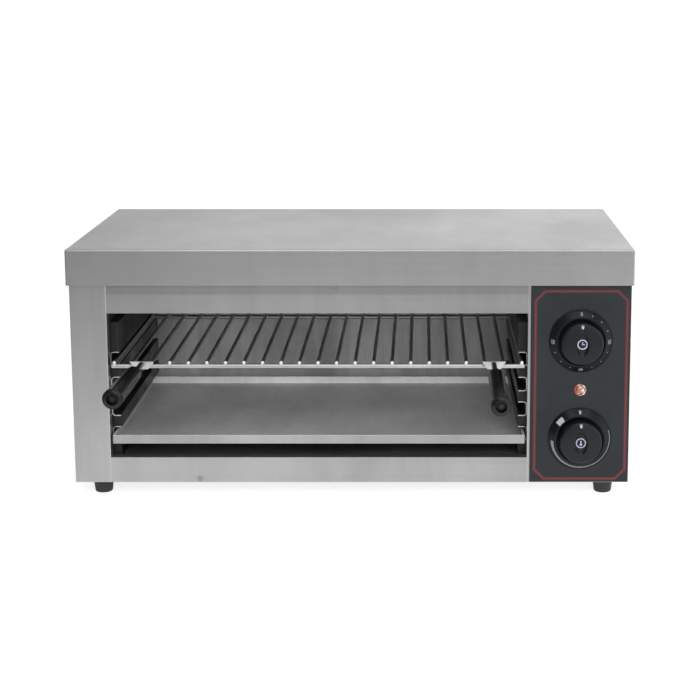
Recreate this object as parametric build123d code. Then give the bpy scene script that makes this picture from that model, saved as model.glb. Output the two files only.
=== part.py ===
"""Countertop cheese melter: a sheet steel grill with a wire rack, a drip tray and two dials.

Millimetres, +Z up, -Y towards the user. The shell is laid out from the middle of the lid in X,
from the lid's front plane in Y and from the table in Z. At the end everything is moved along Y
so that the origin is the middle of the whole object's footprint, handles included. A cut runs
1 mm past what it cuts, and a rod that is fused to another piece starts 1 mm inside it.
"""
import os
from math import cos, radians, sin

from build123d import *

# ---- overall sizes ----
LID_WIDTH = 610.0
LID_DEPTH = 330.0
TOTAL_HEIGHT = 280.0
FOOT_HEIGHT = 20.0

# ---- sheet metal shell ----
SHEET = 1.0
LID_SKIRT = 39.0
LID_FRONT_OVERHANG = 10.0
LID_FIT = 0.5              # gap between the lid's skirt and the body
LID_BEND_RADIUS = 2.0
LIP_GAP = 0.3              # lid's inturned lip to the fascia
COLUMN_WIDTH = 39.5        # left front column
CONTROL_WIDTH = 111.5      # control panel, from the opening to the right side
HEADER_HEIGHT = 32.0       # visible front panel above the opening
SILL_HEIGHT = 28.0         # front panel below the opening
JAMB_DEPTH = 14.0          # inturned edges round the opening
FLANGE = 12.0
COLUMN_BEND_RADIUS = 0.9

# ---- cavity ----
RIB_INSET = 9.0            # rib faces inside the opening's edges
SLOT_DEPTH = 9.0
SLOT_HEIGHT = 14.0
SLOT_PITCH = 28.0
SLOT_COUNT = 4
FIRST_SLOT_ABOVE_SILL = 14.9
GUIDE_SETBACK = 20.0       # from the front plane to the guides' front ends
GUIDE_TOP_LAND = 34.0      # plain sheet above the top slot
CAVITY_BACK_GAP = 23.5     # cavity's back wall to the outer back
CEILING_ABOVE_OPENING = 23.0
FLOOR_BELOW_SILL = 4.0
CLEAR = 0.3                # resting clearance of a sliding piece

# ---- rack and its handles ----
RACK_SIDE_CLEAR = 3.0      # from each slot's back
RACK_BACK_CLEAR = 13.5
RACK_FRONT_INSET = 1.5     # front wire behind the front plane
FRAME_WIRE = 5.0
SIDE_WIRE = 4.4
CROSS_WIRE = 4.0
CROSS_WIRE_GAP = 20.2
SIDE_WIRE_INSET = 3.4      # outermost cross wires from the frame wires' ends
WELD_SINK = 0.5
HANDLE_RISE = 1.0          # handle axis above the bracket's middle
HANDLE_PITCH_COUNT = 1.5   # handle axis, in wire gaps from the outermost cross wire
BRACKET_TOP_WIDTH = 26.0
BRACKET_BOTTOM_WIDTH = 14.0
BRACKET_HEIGHT = 8.5
BRACKET_SHEET = 2.0
STEM_DIAMETER = 6.0
STEM_THREAD = 5.0
STEM_SHOWN = 45.0
GRIP_LENGTH = 135.0
GRIP_NECK = 16.6
GRIP_END = 20.5
GRIP_SHOULDER = 7.0
GRIP_END_ROUND = 3.5
GRIP_RECESS_DIAMETER = 11.0
GRIP_RECESS_DEPTH = 8.0
HANDLE_NUT = 8.0
HANDLE_NUT_HEIGHT = 4.0
LEFT_HANDLE_RISE = 1.7     # degrees
RIGHT_HANDLE_RISE = -0.7
STEM_FIT = 0.05

# ---- drip tray ----
TRAY_SIDE_CLEAR = 2.2
TRAY_BACK_CLEAR = 10.0
TRAY_HEIGHT = 9.4
TRAY_SHEET = 0.8
TRAY_FRONT_INSET = 2.0
TRAY_RIM = 2.6
TRAY_CORNER = 1.5

# ---- heating elements ----
ELEMENT_DIAMETER = 8.0
ELEMENT_COUNT = 3
ELEMENT_LEG_GAP = 44.0
ELEMENT_BELOW_CEILING = 13.0
ELEMENT_END_INSET = 26.0
ELEMENT_COLD_END = 17.0    # sheath beyond the partition
ELEMENT_PIN = 4.0
ELEMENT_PIN_LENGTH = 12.0
BUSH_DIAMETER = 16.0
BUSH_NECK = 12.0
BUSH_FLANGE = 3.5
LINK_SHEET = 1.5
LINK_WIDTH = 8.0
HANGER_SHEET = 1.5
HANGER_HEIGHT = 19.0
HANGER_COUNT = 2
ELEMENT_FIT = 0.15

# ---- controls ----
FASCIA = 0.8
FASCIA_STRIP = 2.8         # bare steel left of the fascia
FASCIA_EDGE = 0.5
FASCIA_RISE = 20.0         # fascia hidden behind the lid's skirt
DIAL_DIAMETER = 69.0
DIAL_EDGE = 1.5
DIAL_HEIGHT = 8.5
DIAL_LAND = 2.0
DIAL_ROUND = 0.6
DIAL_BELOW_LID = 27.7      # upper dial's edge to the skirt's lower edge
DIAL_ABOVE_BASE = 15.3     # lower dial's edge to the body's lower edge
KNOB_DIAMETER = 46.0
KNOB_DRAFT = 0.6           # the knob's base is wider by this all round
KNOB_RING_GAP = 1.9
KNOB_BASE_GAP = 2.2
KNOB_REACH = 23.0          # knob face in front of the fascia
KNOB_WALL = 2.2
KNOB_ROUND = 2.2
KNOB_HUB = 12.0
KNOB_HUB_CLEAR = 1.0
DIMPLE_WIDTH = 16.4
DIMPLE_HEIGHT = 21.0
DIMPLE_DEPTH = 1.6
SHAFT_DIAMETER = 6.0
SHAFT_FIT = 0.05
SHAFT_HOLE_CLEAR = 1.5
SHAFT_INTO_BODY = 18.0
SHAFT_INTO_KNOB = 12.0
TIMER_BODY = 48.0
TIMER_BODY_DEPTH = 36.0
REGULATOR_WIDTH = 40.0
REGULATOR_HEIGHT = 34.0
REGULATOR_DEPTH = 30.0
BODY_ROUND = 2.0
CONTROL_SCREW_GAP = 28.0
CONTROL_SCREW_BITE = 6.0   # into the control's body
CONTROL_SCREW_WELL = 8.0
TAB_WIDTH = 6.3
TAB_SHEET = 0.8
TAB_LENGTH = 8.0
LAMP_LENS = 13.2
LAMP_RIM = 1.6
LAMP_DOME = 2.6
LAMP_BODY = 10.0
LAMP_BODY_LENGTH = 26.0
LAMP_FIT = 0.2
LAMP_NUT = 16.0
LAMP_NUT_THICKNESS = 3.0
LAMP_PIN = 1.2
LAMP_PIN_GAP = 5.0
LAMP_PIN_LENGTH = 5.0
LAMP_DOME_INSET = 0.2      # dome inside the body's diameter and into the rim

# ---- supply side ----
GLAND_THREAD = 20.0
GLAND_HEX = 24.0
GLAND_FLANGE = 5.0
GLAND_DOME = 17.0
GLAND_DOME_DIAMETER = 22.0
GLAND_DOME_ROUND = 4.5
GLAND_BORE = 9.0
GLAND_INSIDE = 10.0
GLAND_NUT_THICKNESS = 5.0
GLAND_ABOVE_BASE = 62.0
GLAND_FIT = 0.15
TERMINAL_BLOCK = (46.0, 22.0, 20.0)
TERMINAL_POLES = 4
TERMINAL_FROM_BACK = 46.0
POLE_WELL = 5.0
POLE_WELL_DEPTH = 6.0
POLE_WELL_FROM_FRONT = 15.4
POLE_GROOVE = 1.6
POLE_GROOVE_DEPTH = 4.0
LEAD_BELOW_TOP = 9.0       # lead entries below the block's top
EARTH_STUD_RISE = 12.0
EARTH_HEAD_HEIGHT = 2.4
EARTH_NUT_HEIGHT = 3.2
WIRE_DIAMETER = 2.6

# ---- small fixings and vents ----
SCREW = 4.0
SCREW_HEAD = 7.0
SCREW_HEAD_HEIGHT = 2.2
SCREW_HEAD_ROUND = 0.88
SCREW_SLOT_WIDTH = 1.0
SCREW_SLOT_DEPTH = 0.7
SCREW_SLOT_END = 1.0       # rim left at each end of the slot
SCREW_FIT = 0.1
FRONT_RIVET = 3.6
FRONT_RIVET_HEAD = 6.1
FRONT_RIVET_SET_HEAD = 5.4
FRONT_RIVET_HEAD_HEIGHT = 0.8
FRONT_RIVET_ROUND = 0.48
CAVITY_FLOOR_SETBACK = 2.4 # clear of the rivets' set heads
BACK_SCREW_COUNT = 4
BACK_SCREW_INSET = 30.35   # outermost screws from the body's sides
BACK_SCREW_LENGTH = 6.0
LID_SCREW_RISE = 13.0      # above the skirt's lower edge
LID_SCREW_INSET = 60.7
LID_SCREW_LENGTH = 7.0
HEADER_RIVET_X = -16.0
HEADER_RIVET_BELOW_LID = 3.8
SILL_RIVET_X = -166.5
SILL_RIVET_ABOVE_BASE = 3.8
VENT_LENGTH = 34.0
VENT_WIDTH = 4.0
VENT_GAP = 10.0
VENT_COUNT = 7
VENT_ROWS = 2
VENT_ROW_GAP = 60.0
VENT_CUT = 3.0             # cutting blocks past the sheet
FOOT_TOP = 24.0
FOOT_BOTTOM = 19.0
FOOT_ROUND = 2.5
FOOT_INSET_X = 24.5
FOOT_INSET_Y = 34.0
FOOT_SCREW = 5.0
FOOT_RECESS = 10.0
FOOT_RECESS_DEPTH = 11.0
FOOT_SCREW_HEAD = 9.0
FOOT_SCREW_HEAD_HEIGHT = 3.0
FOOT_NUT = 8.0
FOOT_NUT_HEIGHT = 4.0

# ---- places that follow from the sizes ----
body_x = LID_WIDTH / 2 - SHEET - LID_FIT
body_front = LID_FRONT_OVERHANG
body_back = LID_DEPTH - SHEET - LID_FIT
body_bottom = FOOT_HEIGHT
body_top = TOTAL_HEIGHT - SHEET
skirt_bottom = TOTAL_HEIGHT - LID_SKIRT
open_left = COLUMN_WIDTH - body_x
open_right = body_x - CONTROL_WIDTH
open_bottom = body_bottom + SILL_HEIGHT
open_top = skirt_bottom - HEADER_HEIGHT
front_inside = body_front + SHEET
back_inside = body_back - SHEET
floor_inside = body_bottom + SHEET

rib_left = open_left + RIB_INSET
rib_right = open_right - RIB_INSET
slot_left = rib_left - SLOT_DEPTH
slot_right = rib_right + SLOT_DEPTH
guide_front = body_front + GUIDE_SETBACK
cavity_back = body_back - CAVITY_BACK_GAP
cavity_floor_top = open_bottom - FLOOR_BELOW_SILL
ceiling_z = open_top + CEILING_ABOVE_OPENING
partition_left = max(slot_right, open_right) + SHEET
liner_right = slot_left - SHEET
element_z = ceiling_z - ELEMENT_BELOW_CEILING

plate_front = body_front - FASCIA
dial_x = (open_right + FASCIA_STRIP + body_x) / 2
timer_z = skirt_bottom - DIAL_BELOW_LID - DIAL_DIAMETER / 2
heat_z = body_bottom + DIAL_ABOVE_BASE + DIAL_DIAMETER / 2
lamp_z = (timer_z + heat_z) / 2
lid_screw_z = skirt_bottom + LID_SCREW_RISE
dial_bore = KNOB_DIAMETER + 2 * (KNOB_DRAFT + KNOB_RING_GAP)
knob_base = plate_front - KNOB_BASE_GAP
knob_face = plate_front - KNOB_REACH
gland_z = body_bottom + GLAND_ABOVE_BASE

rack_front = body_front + RACK_FRONT_INSET + FRAME_WIRE / 2
rack_rear = cavity_back - RACK_BACK_CLEAR - FRAME_WIRE / 2
tray_front = body_front + TRAY_FRONT_INSET
tray_left = slot_left + TRAY_SIDE_CLEAR
tray_right = slot_right - TRAY_SIDE_CLEAR
tray_rear = cavity_back - TRAY_BACK_CLEAR


def slot_floor(level):
    """Height of the lower lip of a guide slot, counted from the bottom."""
    return open_bottom + FIRST_SLOT_ABOVE_SILL + level * SLOT_PITCH


rack_z = slot_floor(SLOT_COUNT - 1) + CLEAR + FRAME_WIRE / 2
cross_z = rack_z + (FRAME_WIRE + CROSS_WIRE) / 2 - WELD_SINK
rack_left = slot_left + RACK_SIDE_CLEAR
rack_right = slot_right - RACK_SIDE_CLEAR
side_wire_left = rack_left + SIDE_WIRE_INSET
side_wire_right = rack_right - SIDE_WIRE_INSET
cross_gaps = round((side_wire_right - side_wire_left) / CROSS_WIRE_GAP)
cross_gap = (side_wire_right - side_wire_left) / cross_gaps
handle_left_x = side_wire_left + HANDLE_PITCH_COUNT * cross_gap
handle_right_x = side_wire_right - HANDLE_PITCH_COUNT * cross_gap
bracket_top = cross_z + CROSS_WIRE / 2
bracket_front = rack_front - FRAME_WIRE / 2 - BRACKET_SHEET
handle_z = bracket_top - BRACKET_HEIGHT / 2 + HANDLE_RISE


# ---- shapes used again and again ----
def block(x0, x1, y0, y1, z0, z1):
    """A box between two corners."""
    size = Box(x1 - x0, y1 - y0, z1 - z0)
    return Pos((x0 + x1) / 2, (y0 + y1) / 2, (z0 + z1) / 2) * size


def rod_x(x0, x1, y, z, diameter):
    return Pos((x0 + x1) / 2, y, z) * Rot(0, 90, 0) * Cylinder(diameter / 2, x1 - x0)


def rod_y(x, y0, y1, z, diameter):
    return Pos(x, (y0 + y1) / 2, z) * Rot(90, 0, 0) * Cylinder(diameter / 2, y1 - y0)


def rod_z(x, y, z0, z1, diameter):
    return Pos(x, y, (z0 + z1) / 2) * Cylinder(diameter / 2, z1 - z0)


def turned(points, x, z, y0):
    """A solid of revolution about a line along -Y; points are (radius, distance in front of y0)."""
    outline = Polyline(*[(radius, -forward) for radius, forward in points], close=True)
    ring = revolve(make_face(outline), Axis.Y)
    return Pos(x, y0, z) * ring


def screw_y(x, z, head_y, length, direction=1, diameter=SCREW, head=SCREW_HEAD):
    """A pan head screw along Y. The head's seat is at head_y and the shank runs along direction."""
    tip = head_y + direction * length
    shank = rod_y(x, min(head_y, tip), max(head_y, tip), z, diameter)
    top = head_y - direction * SCREW_HEAD_HEIGHT
    cap = rod_y(x, min(head_y, top), max(head_y, top), z, head)
    outer = cap.faces().sort_by(Axis.Y)[0 if direction > 0 else -1]
    cap = fillet(outer.edges(), SCREW_HEAD_ROUND)
    half = head / 2 - SCREW_SLOT_END
    slot = block(x - half, x + half, top - SCREW_SLOT_DEPTH, top + SCREW_SLOT_DEPTH,
                 z - SCREW_SLOT_WIDTH / 2, z + SCREW_SLOT_WIDTH / 2)
    return cap + shank - slot


def hexagon_z(x, y, z0, z1, across):
    body = extrude(RegularPolygon(across / 2, 6, major_radius=False), z1 - z0)
    return Pos(x, y, z0) * body


# ---- shell ----
def top_cover():
    """The folded lid: top, four skirts and a lip turned in under the front skirt."""
    half = LID_WIDTH / 2
    outer = block(-half, half, 0, LID_DEPTH, skirt_bottom, TOTAL_HEIGHT)
    edges = outer.edges().filter_by(Axis.Z) + outer.faces().sort_by(Axis.Z)[-1].edges()
    outer = fillet(edges, LID_BEND_RADIUS)
    inner = block(-half + SHEET, half - SHEET, SHEET, LID_DEPTH - SHEET, 0, body_top)
    lip = block(-half + SHEET, half - SHEET, SHEET, plate_front - LIP_GAP,
                skirt_bottom, skirt_bottom + SHEET)
    cover = outer - inner + lip
    for x in lid_screw_places():
        cover -= rod_y(x, LID_DEPTH - 2 * SHEET, LID_DEPTH + 1, lid_screw_z, SCREW + 2 * SCREW_FIT)
    return cover


def lid_screw_places():
    """Three screws along the back skirt."""
    return [LID_SCREW_INSET - body_x, 0.0, body_x - LID_SCREW_INSET]


def left_side_panel():
    """Side sheet with the front column, its jamb and a top flange folded from it."""
    side = block(-body_x, -body_x + SHEET, body_front, back_inside, body_bottom, body_top)
    column = block(-body_x, open_left, body_front, front_inside, body_bottom, body_top)
    jamb = block(open_left - SHEET, open_left, body_front, body_front + JAMB_DEPTH,
                 open_bottom, open_top)
    flange = block(-body_x, -body_x + FLANGE, front_inside, back_inside, body_top - SHEET, body_top)
    panel = side + column + jamb + flange
    corner = panel.edges().filter_by(Axis.Z).sort_by(lambda e: e.center().X + e.center().Y)[0]
    return fillet(corner, COLUMN_BEND_RADIUS)


def vents(x0, y0, along, across_start):
    """Slots for cooling air, as cutting blocks; along is 'x' or 'y'."""
    cuts = []
    for row in range(VENT_ROWS):
        z0 = across_start + row * VENT_ROW_GAP
        for i in range(VENT_COUNT):
            if along == "y":
                y = y0 + i * VENT_GAP
                cuts.append(block(x0 - VENT_CUT, x0 + VENT_CUT, y, y + VENT_WIDTH, z0, z0 + VENT_LENGTH))
            else:
                x = x0 + i * VENT_GAP
                cuts.append(block(x, x + VENT_WIDTH, y0 - VENT_CUT, y0 + VENT_CUT,
                                  z0, z0 + VENT_LENGTH))
    return cuts


def right_side_panel():
    """Side sheet of the control box with cooling slots and top and front flanges."""
    side = block(body_x - SHEET, body_x, front_inside, back_inside, body_bottom, body_top)
    flange = block(body_x - FLANGE, body_x, front_inside, back_inside, body_top - SHEET, body_top)
    panel = side + flange
    first = back_inside - FOOT_INSET_Y - VENT_COUNT * VENT_GAP
    for cut in vents(body_x, first, "y", gland_z):
        panel -= cut
    return panel


def back_panel():
    """Outer back sheet with cooling slots, the gland's hole and its screws' holes."""
    panel = block(-body_x, body_x, back_inside, body_back, body_bottom, body_top)
    first = dial_x - VENT_COUNT * VENT_GAP / 2
    for cut in vents(first, body_back, "x", gland_z + GLAND_HEX):
        panel -= cut
    panel -= rod_y(dial_x, back_inside - 1, body_back + 1, gland_z, GLAND_THREAD + 2 * GLAND_FIT)
    for x, z in back_screw_places():
        panel -= rod_y(x, back_inside - 1, body_back + 1, z, SCREW + 2 * SCREW_FIT)
    for x in lid_screw_places():
        panel -= rod_y(x, back_inside - 1, body_back + 1, lid_screw_z, SCREW + 2 * SCREW_FIT)
    return panel


def back_screw_places():
    """Back panel screws, into the base plate's rear flange."""
    z = body_bottom + FLANGE / 2 + SHEET / 2
    first = BACK_SCREW_INSET - body_x
    step = -2 * first / (BACK_SCREW_COUNT - 1)
    return [(first + i * step, z) for i in range(BACK_SCREW_COUNT)]


def base_plate():
    """Bottom sheet with a rear flange and the foot screws' holes."""
    inner_x = body_x - SHEET
    plate = block(-inner_x, inner_x, front_inside, back_inside, body_bottom, floor_inside)
    plate += block(-inner_x, inner_x, back_inside - SHEET, back_inside,
                   body_bottom, body_bottom + FLANGE + SHEET)
    for x, y in foot_places():
        plate -= rod_z(x, y, body_bottom - 1, floor_inside + 1, FOOT_SCREW + 2 * SCREW_FIT)
    for x, z in back_screw_places():
        plate -= rod_y(x, back_inside - 2 * SHEET, back_inside + 1, z, SCREW + 2 * SCREW_FIT)
    plate -= rod_z(earth_x, earth_y, body_bottom - 1, floor_inside + 1, SCREW + 2 * SCREW_FIT)
    return plate


def header_panel():
    """Front sheet above the opening, its lower edge folded inwards."""
    face = block(open_left, open_right, body_front, front_inside, open_top, body_top)
    fold = block(open_left, open_right, body_front, body_front + JAMB_DEPTH, open_top, open_top + SHEET)
    flange = block(open_left, open_right, body_front, body_front + FLANGE, body_top - SHEET, body_top)
    panel = face + fold + flange
    rivet_z = skirt_bottom - HEADER_RIVET_BELOW_LID
    return panel - rod_y(HEADER_RIVET_X, body_front - 1, front_inside + 1, rivet_z, FRONT_RIVET)


def sill_panel():
    """Front sheet below the opening, its upper edge folded inwards."""
    face = block(open_left, open_right, body_front, front_inside, body_bottom, open_bottom)
    fold = block(open_left, open_right, body_front, body_front + JAMB_DEPTH,
                 open_bottom - SHEET, open_bottom)
    rivet_z = body_bottom + SILL_RIVET_ABOVE_BASE
    panel = face + fold
    return panel - rod_y(SILL_RIVET_X, body_front - 1, front_inside + 1, rivet_z, FRONT_RIVET)


def rivet(x, z):
    """A closed blind rivet: low domed head in front, set head behind."""
    head = rod_y(x, body_front - FRONT_RIVET_HEAD_HEIGHT, body_front, z, FRONT_RIVET_HEAD)
    head = fillet(head.faces().sort_by(Axis.Y)[0].edges(), FRONT_RIVET_ROUND)
    body = rod_y(x, body_front, front_inside, z, FRONT_RIVET)
    set_end = front_inside + 2 * FRONT_RIVET_HEAD_HEIGHT
    set_head = rod_y(x, front_inside, set_end, z, FRONT_RIVET_SET_HEAD)
    return head + body + set_head


def front_rivets():
    return [rivet(HEADER_RIVET_X, skirt_bottom - HEADER_RIVET_BELOW_LID),
            rivet(SILL_RIVET_X, body_bottom + SILL_RIVET_ABOVE_BASE)]


def control_plate():
    """Stainless front of the control box, folded back beside the opening."""
    face = block(open_right, body_x, body_front, front_inside, body_bottom, body_top)
    jamb = block(open_right, open_right + SHEET, body_front, body_front + JAMB_DEPTH,
                 open_bottom, open_top)
    return pierce_controls(face + jamb, front_inside + 1)


def fascia():
    """Black overlay plate on the control box."""
    x0 = open_right + FASCIA_STRIP
    x1 = body_x - FASCIA_EDGE
    top = min(skirt_bottom + FASCIA_RISE, body_top)
    sheet = block(x0, x1, plate_front, body_front, body_bottom + FASCIA_EDGE, top)
    return pierce_controls(sheet, body_front + 1)


def pierce_controls(sheet, y_end):
    """Cuts the shaft, lamp and screw holes through a control panel sheet."""
    y0 = plate_front - 1
    sheet -= rod_y(dial_x, y0, y_end, lamp_z, LAMP_BODY + 2 * LAMP_FIT)
    for z in (timer_z, heat_z):
        sheet -= rod_y(dial_x, y0, y_end, z, SHAFT_DIAMETER + 2 * SHAFT_HOLE_CLEAR)
        for side in (-1, 1):
            x = dial_x + side * CONTROL_SCREW_GAP / 2
            sheet -= rod_y(x, y0, y_end, z, SCREW + 2 * SCREW_FIT)
    return sheet


# ---- cavity ----
def rack_guide(side):
    """Side liner pressed into shelves: ribs closed in front, between slots that open to the cavity."""
    rib = rib_left if side < 0 else rib_right
    back = slot_left if side < 0 else slot_right
    top = slot_floor(SLOT_COUNT - 1) + SLOT_HEIGHT + GUIDE_TOP_LAND
    top = min(top, ceiling_z)
    rib_out = rib + side * SHEET
    back_out = back + side * SHEET
    pieces, ribs = [], []
    z = cavity_floor_top
    for level in range(SLOT_COUNT):
        lip = slot_floor(level)
        roof = lip + SLOT_HEIGHT
        ribs.append((z, lip))
        pieces.append((rib, back_out, lip - SHEET, lip))
        pieces.append((back, back_out, lip - SHEET, roof + SHEET))
        pieces.append((rib, back_out, roof, roof + SHEET))
        z = roof
    ribs.append((z, top))
    pieces.append((rib, back_out, top - SHEET, top))
    pieces += [(rib, rib_out, z0, z1) for z0, z1 in ribs]
    guide = None
    for xa, xb, z0, z1 in pieces:
        strip = block(min(xa, xb), max(xa, xb), guide_front, cavity_back, z0, z1)
        guide = strip if guide is None else guide + strip
    for z0, z1 in ribs:
        guide += block(min(rib, back_out), max(rib, back_out), guide_front, guide_front + SHEET, z0, z1)
    return guide


def cavity_left_wall():
    """Plain sheet that carries the left guide, flanged on to the base plate."""
    wall = block(liner_right - SHEET, liner_right, guide_front, cavity_back, floor_inside, ceiling_z)
    return wall + block(liner_right - SHEET, liner_right + FLANGE, guide_front, cavity_back - FLANGE,
                        floor_inside, floor_inside + SHEET)


def partition_wall():
    """Wall between the cavity and the control box, with holes for the element ends."""
    wall = block(partition_left, partition_left + SHEET, front_inside, back_inside - SHEET,
                 floor_inside, ceiling_z)
    wall += block(partition_left, partition_left + FLANGE, front_inside + FOOT_INSET_Y,
                  back_inside - FOOT_INSET_Y, floor_inside, floor_inside + SHEET)
    for y in element_legs():
        wall -= rod_x(partition_left - 1, partition_left + SHEET + 1, y, element_z,
                      BUSH_NECK + 2 * ELEMENT_FIT)
    return wall


def cavity_back_wall():
    return block(liner_right - SHEET, partition_left, cavity_back, cavity_back + SHEET,
                 floor_inside, ceiling_z)


def cavity_floor():
    """Black floor sheet under the tray, stood on a front and a rear fold."""
    z1 = cavity_floor_top
    z0 = z1 - SHEET
    y1 = cavity_back
    y0 = front_inside + CAVITY_FLOOR_SETBACK
    floor = block(liner_right, partition_left, y0, y1, z0, z1)
    floor += block(open_left, open_right, y0, y0 + SHEET, floor_inside, z1)
    floor += block(liner_right, partition_left, y1 - SHEET, y1, floor_inside, z1)
    return floor


def ceiling():
    """Reflector above the elements, with down-turned front and rear edges."""
    plate = block(liner_right - SHEET, partition_left + SHEET, body_front + JAMB_DEPTH,
                  cavity_back + SHEET, ceiling_z, ceiling_z + SHEET)
    edge_top = ceiling_z + FLANGE
    plate += block(liner_right - SHEET, partition_left + SHEET, body_front + JAMB_DEPTH,
                   body_front + JAMB_DEPTH + SHEET, ceiling_z, edge_top)
    return plate


# ---- heating ----
def element_middles():
    """Middle of each hairpin, spread evenly over the cavity's depth."""
    first = guide_front + ELEMENT_LEG_GAP
    last = cavity_back - ELEMENT_LEG_GAP
    step = (last - first) / (ELEMENT_COUNT - 1)
    return [first + i * step for i in range(ELEMENT_COUNT)]


def element_legs():
    return [y + side * ELEMENT_LEG_GAP / 2 for y in element_middles() for side in (-1, 1)]


def heating_element(y_mid):
    """One hairpin: a sheathed tube, two legs and a half-round bend."""
    half = ELEMENT_LEG_GAP / 2
    x_bend = rib_left + ELEMENT_END_INSET + half
    x_end = partition_left + SHEET + ELEMENT_COLD_END
    start = (x_end, y_mid - half, element_z)
    path = Line(start, (x_bend, y_mid - half, element_z))
    path += ThreePointArc((x_bend, y_mid - half, element_z), (x_bend - half, y_mid, element_z),
                          (x_bend, y_mid + half, element_z))
    path += Line((x_bend, y_mid + half, element_z), (x_end, y_mid + half, element_z))
    section = Plane(start, z_dir=(-1, 0, 0)) * Circle(ELEMENT_DIAMETER / 2)
    tube = sweep(section, path=path)
    for side in (-1, 1):
        y = y_mid + side * half
        tube += rod_x(x_end - 1, x_end + ELEMENT_PIN_LENGTH, y, element_z, ELEMENT_PIN)
    return tube


def element_bushes():
    """Ceramic bushes, flanged on the cavity side, one for each element leg."""
    bushes = []
    hole = ELEMENT_DIAMETER + 2 * ELEMENT_FIT
    for y in element_legs():
        x0 = partition_left - BUSH_FLANGE
        x1 = partition_left + SHEET + BUSH_FLANGE
        bush = rod_x(x0, partition_left, y, element_z, BUSH_DIAMETER)
        bush += rod_x(partition_left, x1, y, element_z, BUSH_NECK)
        bushes.append(bush - rod_x(x0 - 1, x1 + 1, y, element_z, hole))
    return bushes


def element_hangers():
    """Drilled strips that hold the element legs under the ceiling."""
    hangers = []
    first = rib_left + ELEMENT_END_INSET + ELEMENT_LEG_GAP
    last = rib_right - ELEMENT_LEG_GAP
    step = (last - first) / (HANGER_COUNT - 1)
    legs = element_legs()
    for i in range(HANGER_COUNT):
        x = first + i * step
        strip = block(x, x + HANGER_SHEET, legs[0] - ELEMENT_DIAMETER, legs[-1] + ELEMENT_DIAMETER,
                      ceiling_z - HANGER_HEIGHT, ceiling_z)
        for y in legs:
            hole = ELEMENT_DIAMETER + 2 * ELEMENT_FIT
            strip -= rod_x(x - 1, x + HANGER_SHEET + 1, y, element_z, hole)
        hangers.append(strip)
    return hangers


# ---- rack ----
def wire_rack():
    """Welded rack: four frame wires in one plane with the cross wires lying on them."""
    rack = rod_x(rack_left, rack_right, rack_front, rack_z, FRAME_WIRE)
    rack += rod_x(rack_left, rack_right, rack_rear, rack_z, FRAME_WIRE)
    for x in (side_wire_left, side_wire_right):
        rack += rod_y(x, rack_front, rack_rear, rack_z, SIDE_WIRE)
    reach = FRAME_WIRE / 2
    for i in range(cross_gaps + 1):
        x = side_wire_left + i * cross_gap
        rack += rod_y(x, rack_front - reach, rack_rear + reach, cross_z, CROSS_WIRE)
    return rack


def handle_bracket(x):
    """Tapered plate welded to the rack's front wire."""
    top = BRACKET_TOP_WIDTH / 2
    low = BRACKET_BOTTOM_WIDTH / 2
    outline = Polyline((-top, 0), (top, 0), (low, -BRACKET_HEIGHT), (-low, -BRACKET_HEIGHT), close=True)
    plate = extrude(make_face(Plane.XZ * outline), BRACKET_SHEET, dir=(0, 1, 0))
    return Pos(x, bracket_front, bracket_top) * plate


def place_handle(solid, x, rise):
    """Turns a handle piece, made along -Y from the origin, to its slope and sets it on its bracket."""
    return Pos(x, bracket_front, handle_z) * Rot(-rise, 0, 0) * solid


def handle_stem(x, rise):
    """Steel rod with a thinner threaded end, its root trimmed flush with the bracket."""
    seat = STEM_SHOWN + GRIP_LENGTH - GRIP_RECESS_DEPTH
    rod = rod_y(0, -seat, 2, 0, STEM_DIAMETER)
    rod += rod_y(0, -seat - HANDLE_NUT_HEIGHT - 1, -seat + 1, 0, STEM_THREAD)
    rod = place_handle(rod, x, rise)
    reach = STEM_DIAMETER
    return rod - block(x - reach, x + reach, bracket_front, bracket_front + reach,
                       handle_z - reach, handle_z + reach)


def handle_grip(x, rise):
    """Tapered moulded grip, bored for the stem, with a recess for its nut."""
    neck = GRIP_NECK / 2
    end = GRIP_END / 2
    start = STEM_SHOWN
    finish = STEM_SHOWN + GRIP_LENGTH
    bore = STEM_DIAMETER / 2 + STEM_FIT
    recess = GRIP_RECESS_DIAMETER / 2
    seat = finish - GRIP_RECESS_DEPTH
    shoulder = RadiusArc((bore, -start), (neck, -start - GRIP_SHOULDER), -GRIP_SHOULDER * 1.05)
    taper = Line((neck, -start - GRIP_SHOULDER), (end, -finish + GRIP_END_ROUND))
    tip = RadiusArc((end, -finish + GRIP_END_ROUND), (end - GRIP_END_ROUND, -finish), -GRIP_END_ROUND)
    rest = Polyline((end - GRIP_END_ROUND, -finish), (recess, -finish), (recess, -seat),
                    (bore, -seat), (bore, -start))
    grip = revolve(make_face(shoulder + taper + tip + rest), Axis.Y)
    return place_handle(grip, x, rise)


def handle_nut(x, rise):
    """Nut on the stem's threaded end, seated in the grip's recess."""
    seat = STEM_SHOWN + GRIP_LENGTH - GRIP_RECESS_DEPTH
    nut = extrude(RegularPolygon(HANDLE_NUT / 2, 6, major_radius=False), HANDLE_NUT_HEIGHT)
    nut -= Cylinder(STEM_THREAD / 2 + STEM_FIT, 3 * HANDLE_NUT_HEIGHT)
    nut = Pos(0, -seat, 0) * Rot(90, 0, 0) * nut
    return place_handle(nut, x, rise)


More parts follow.
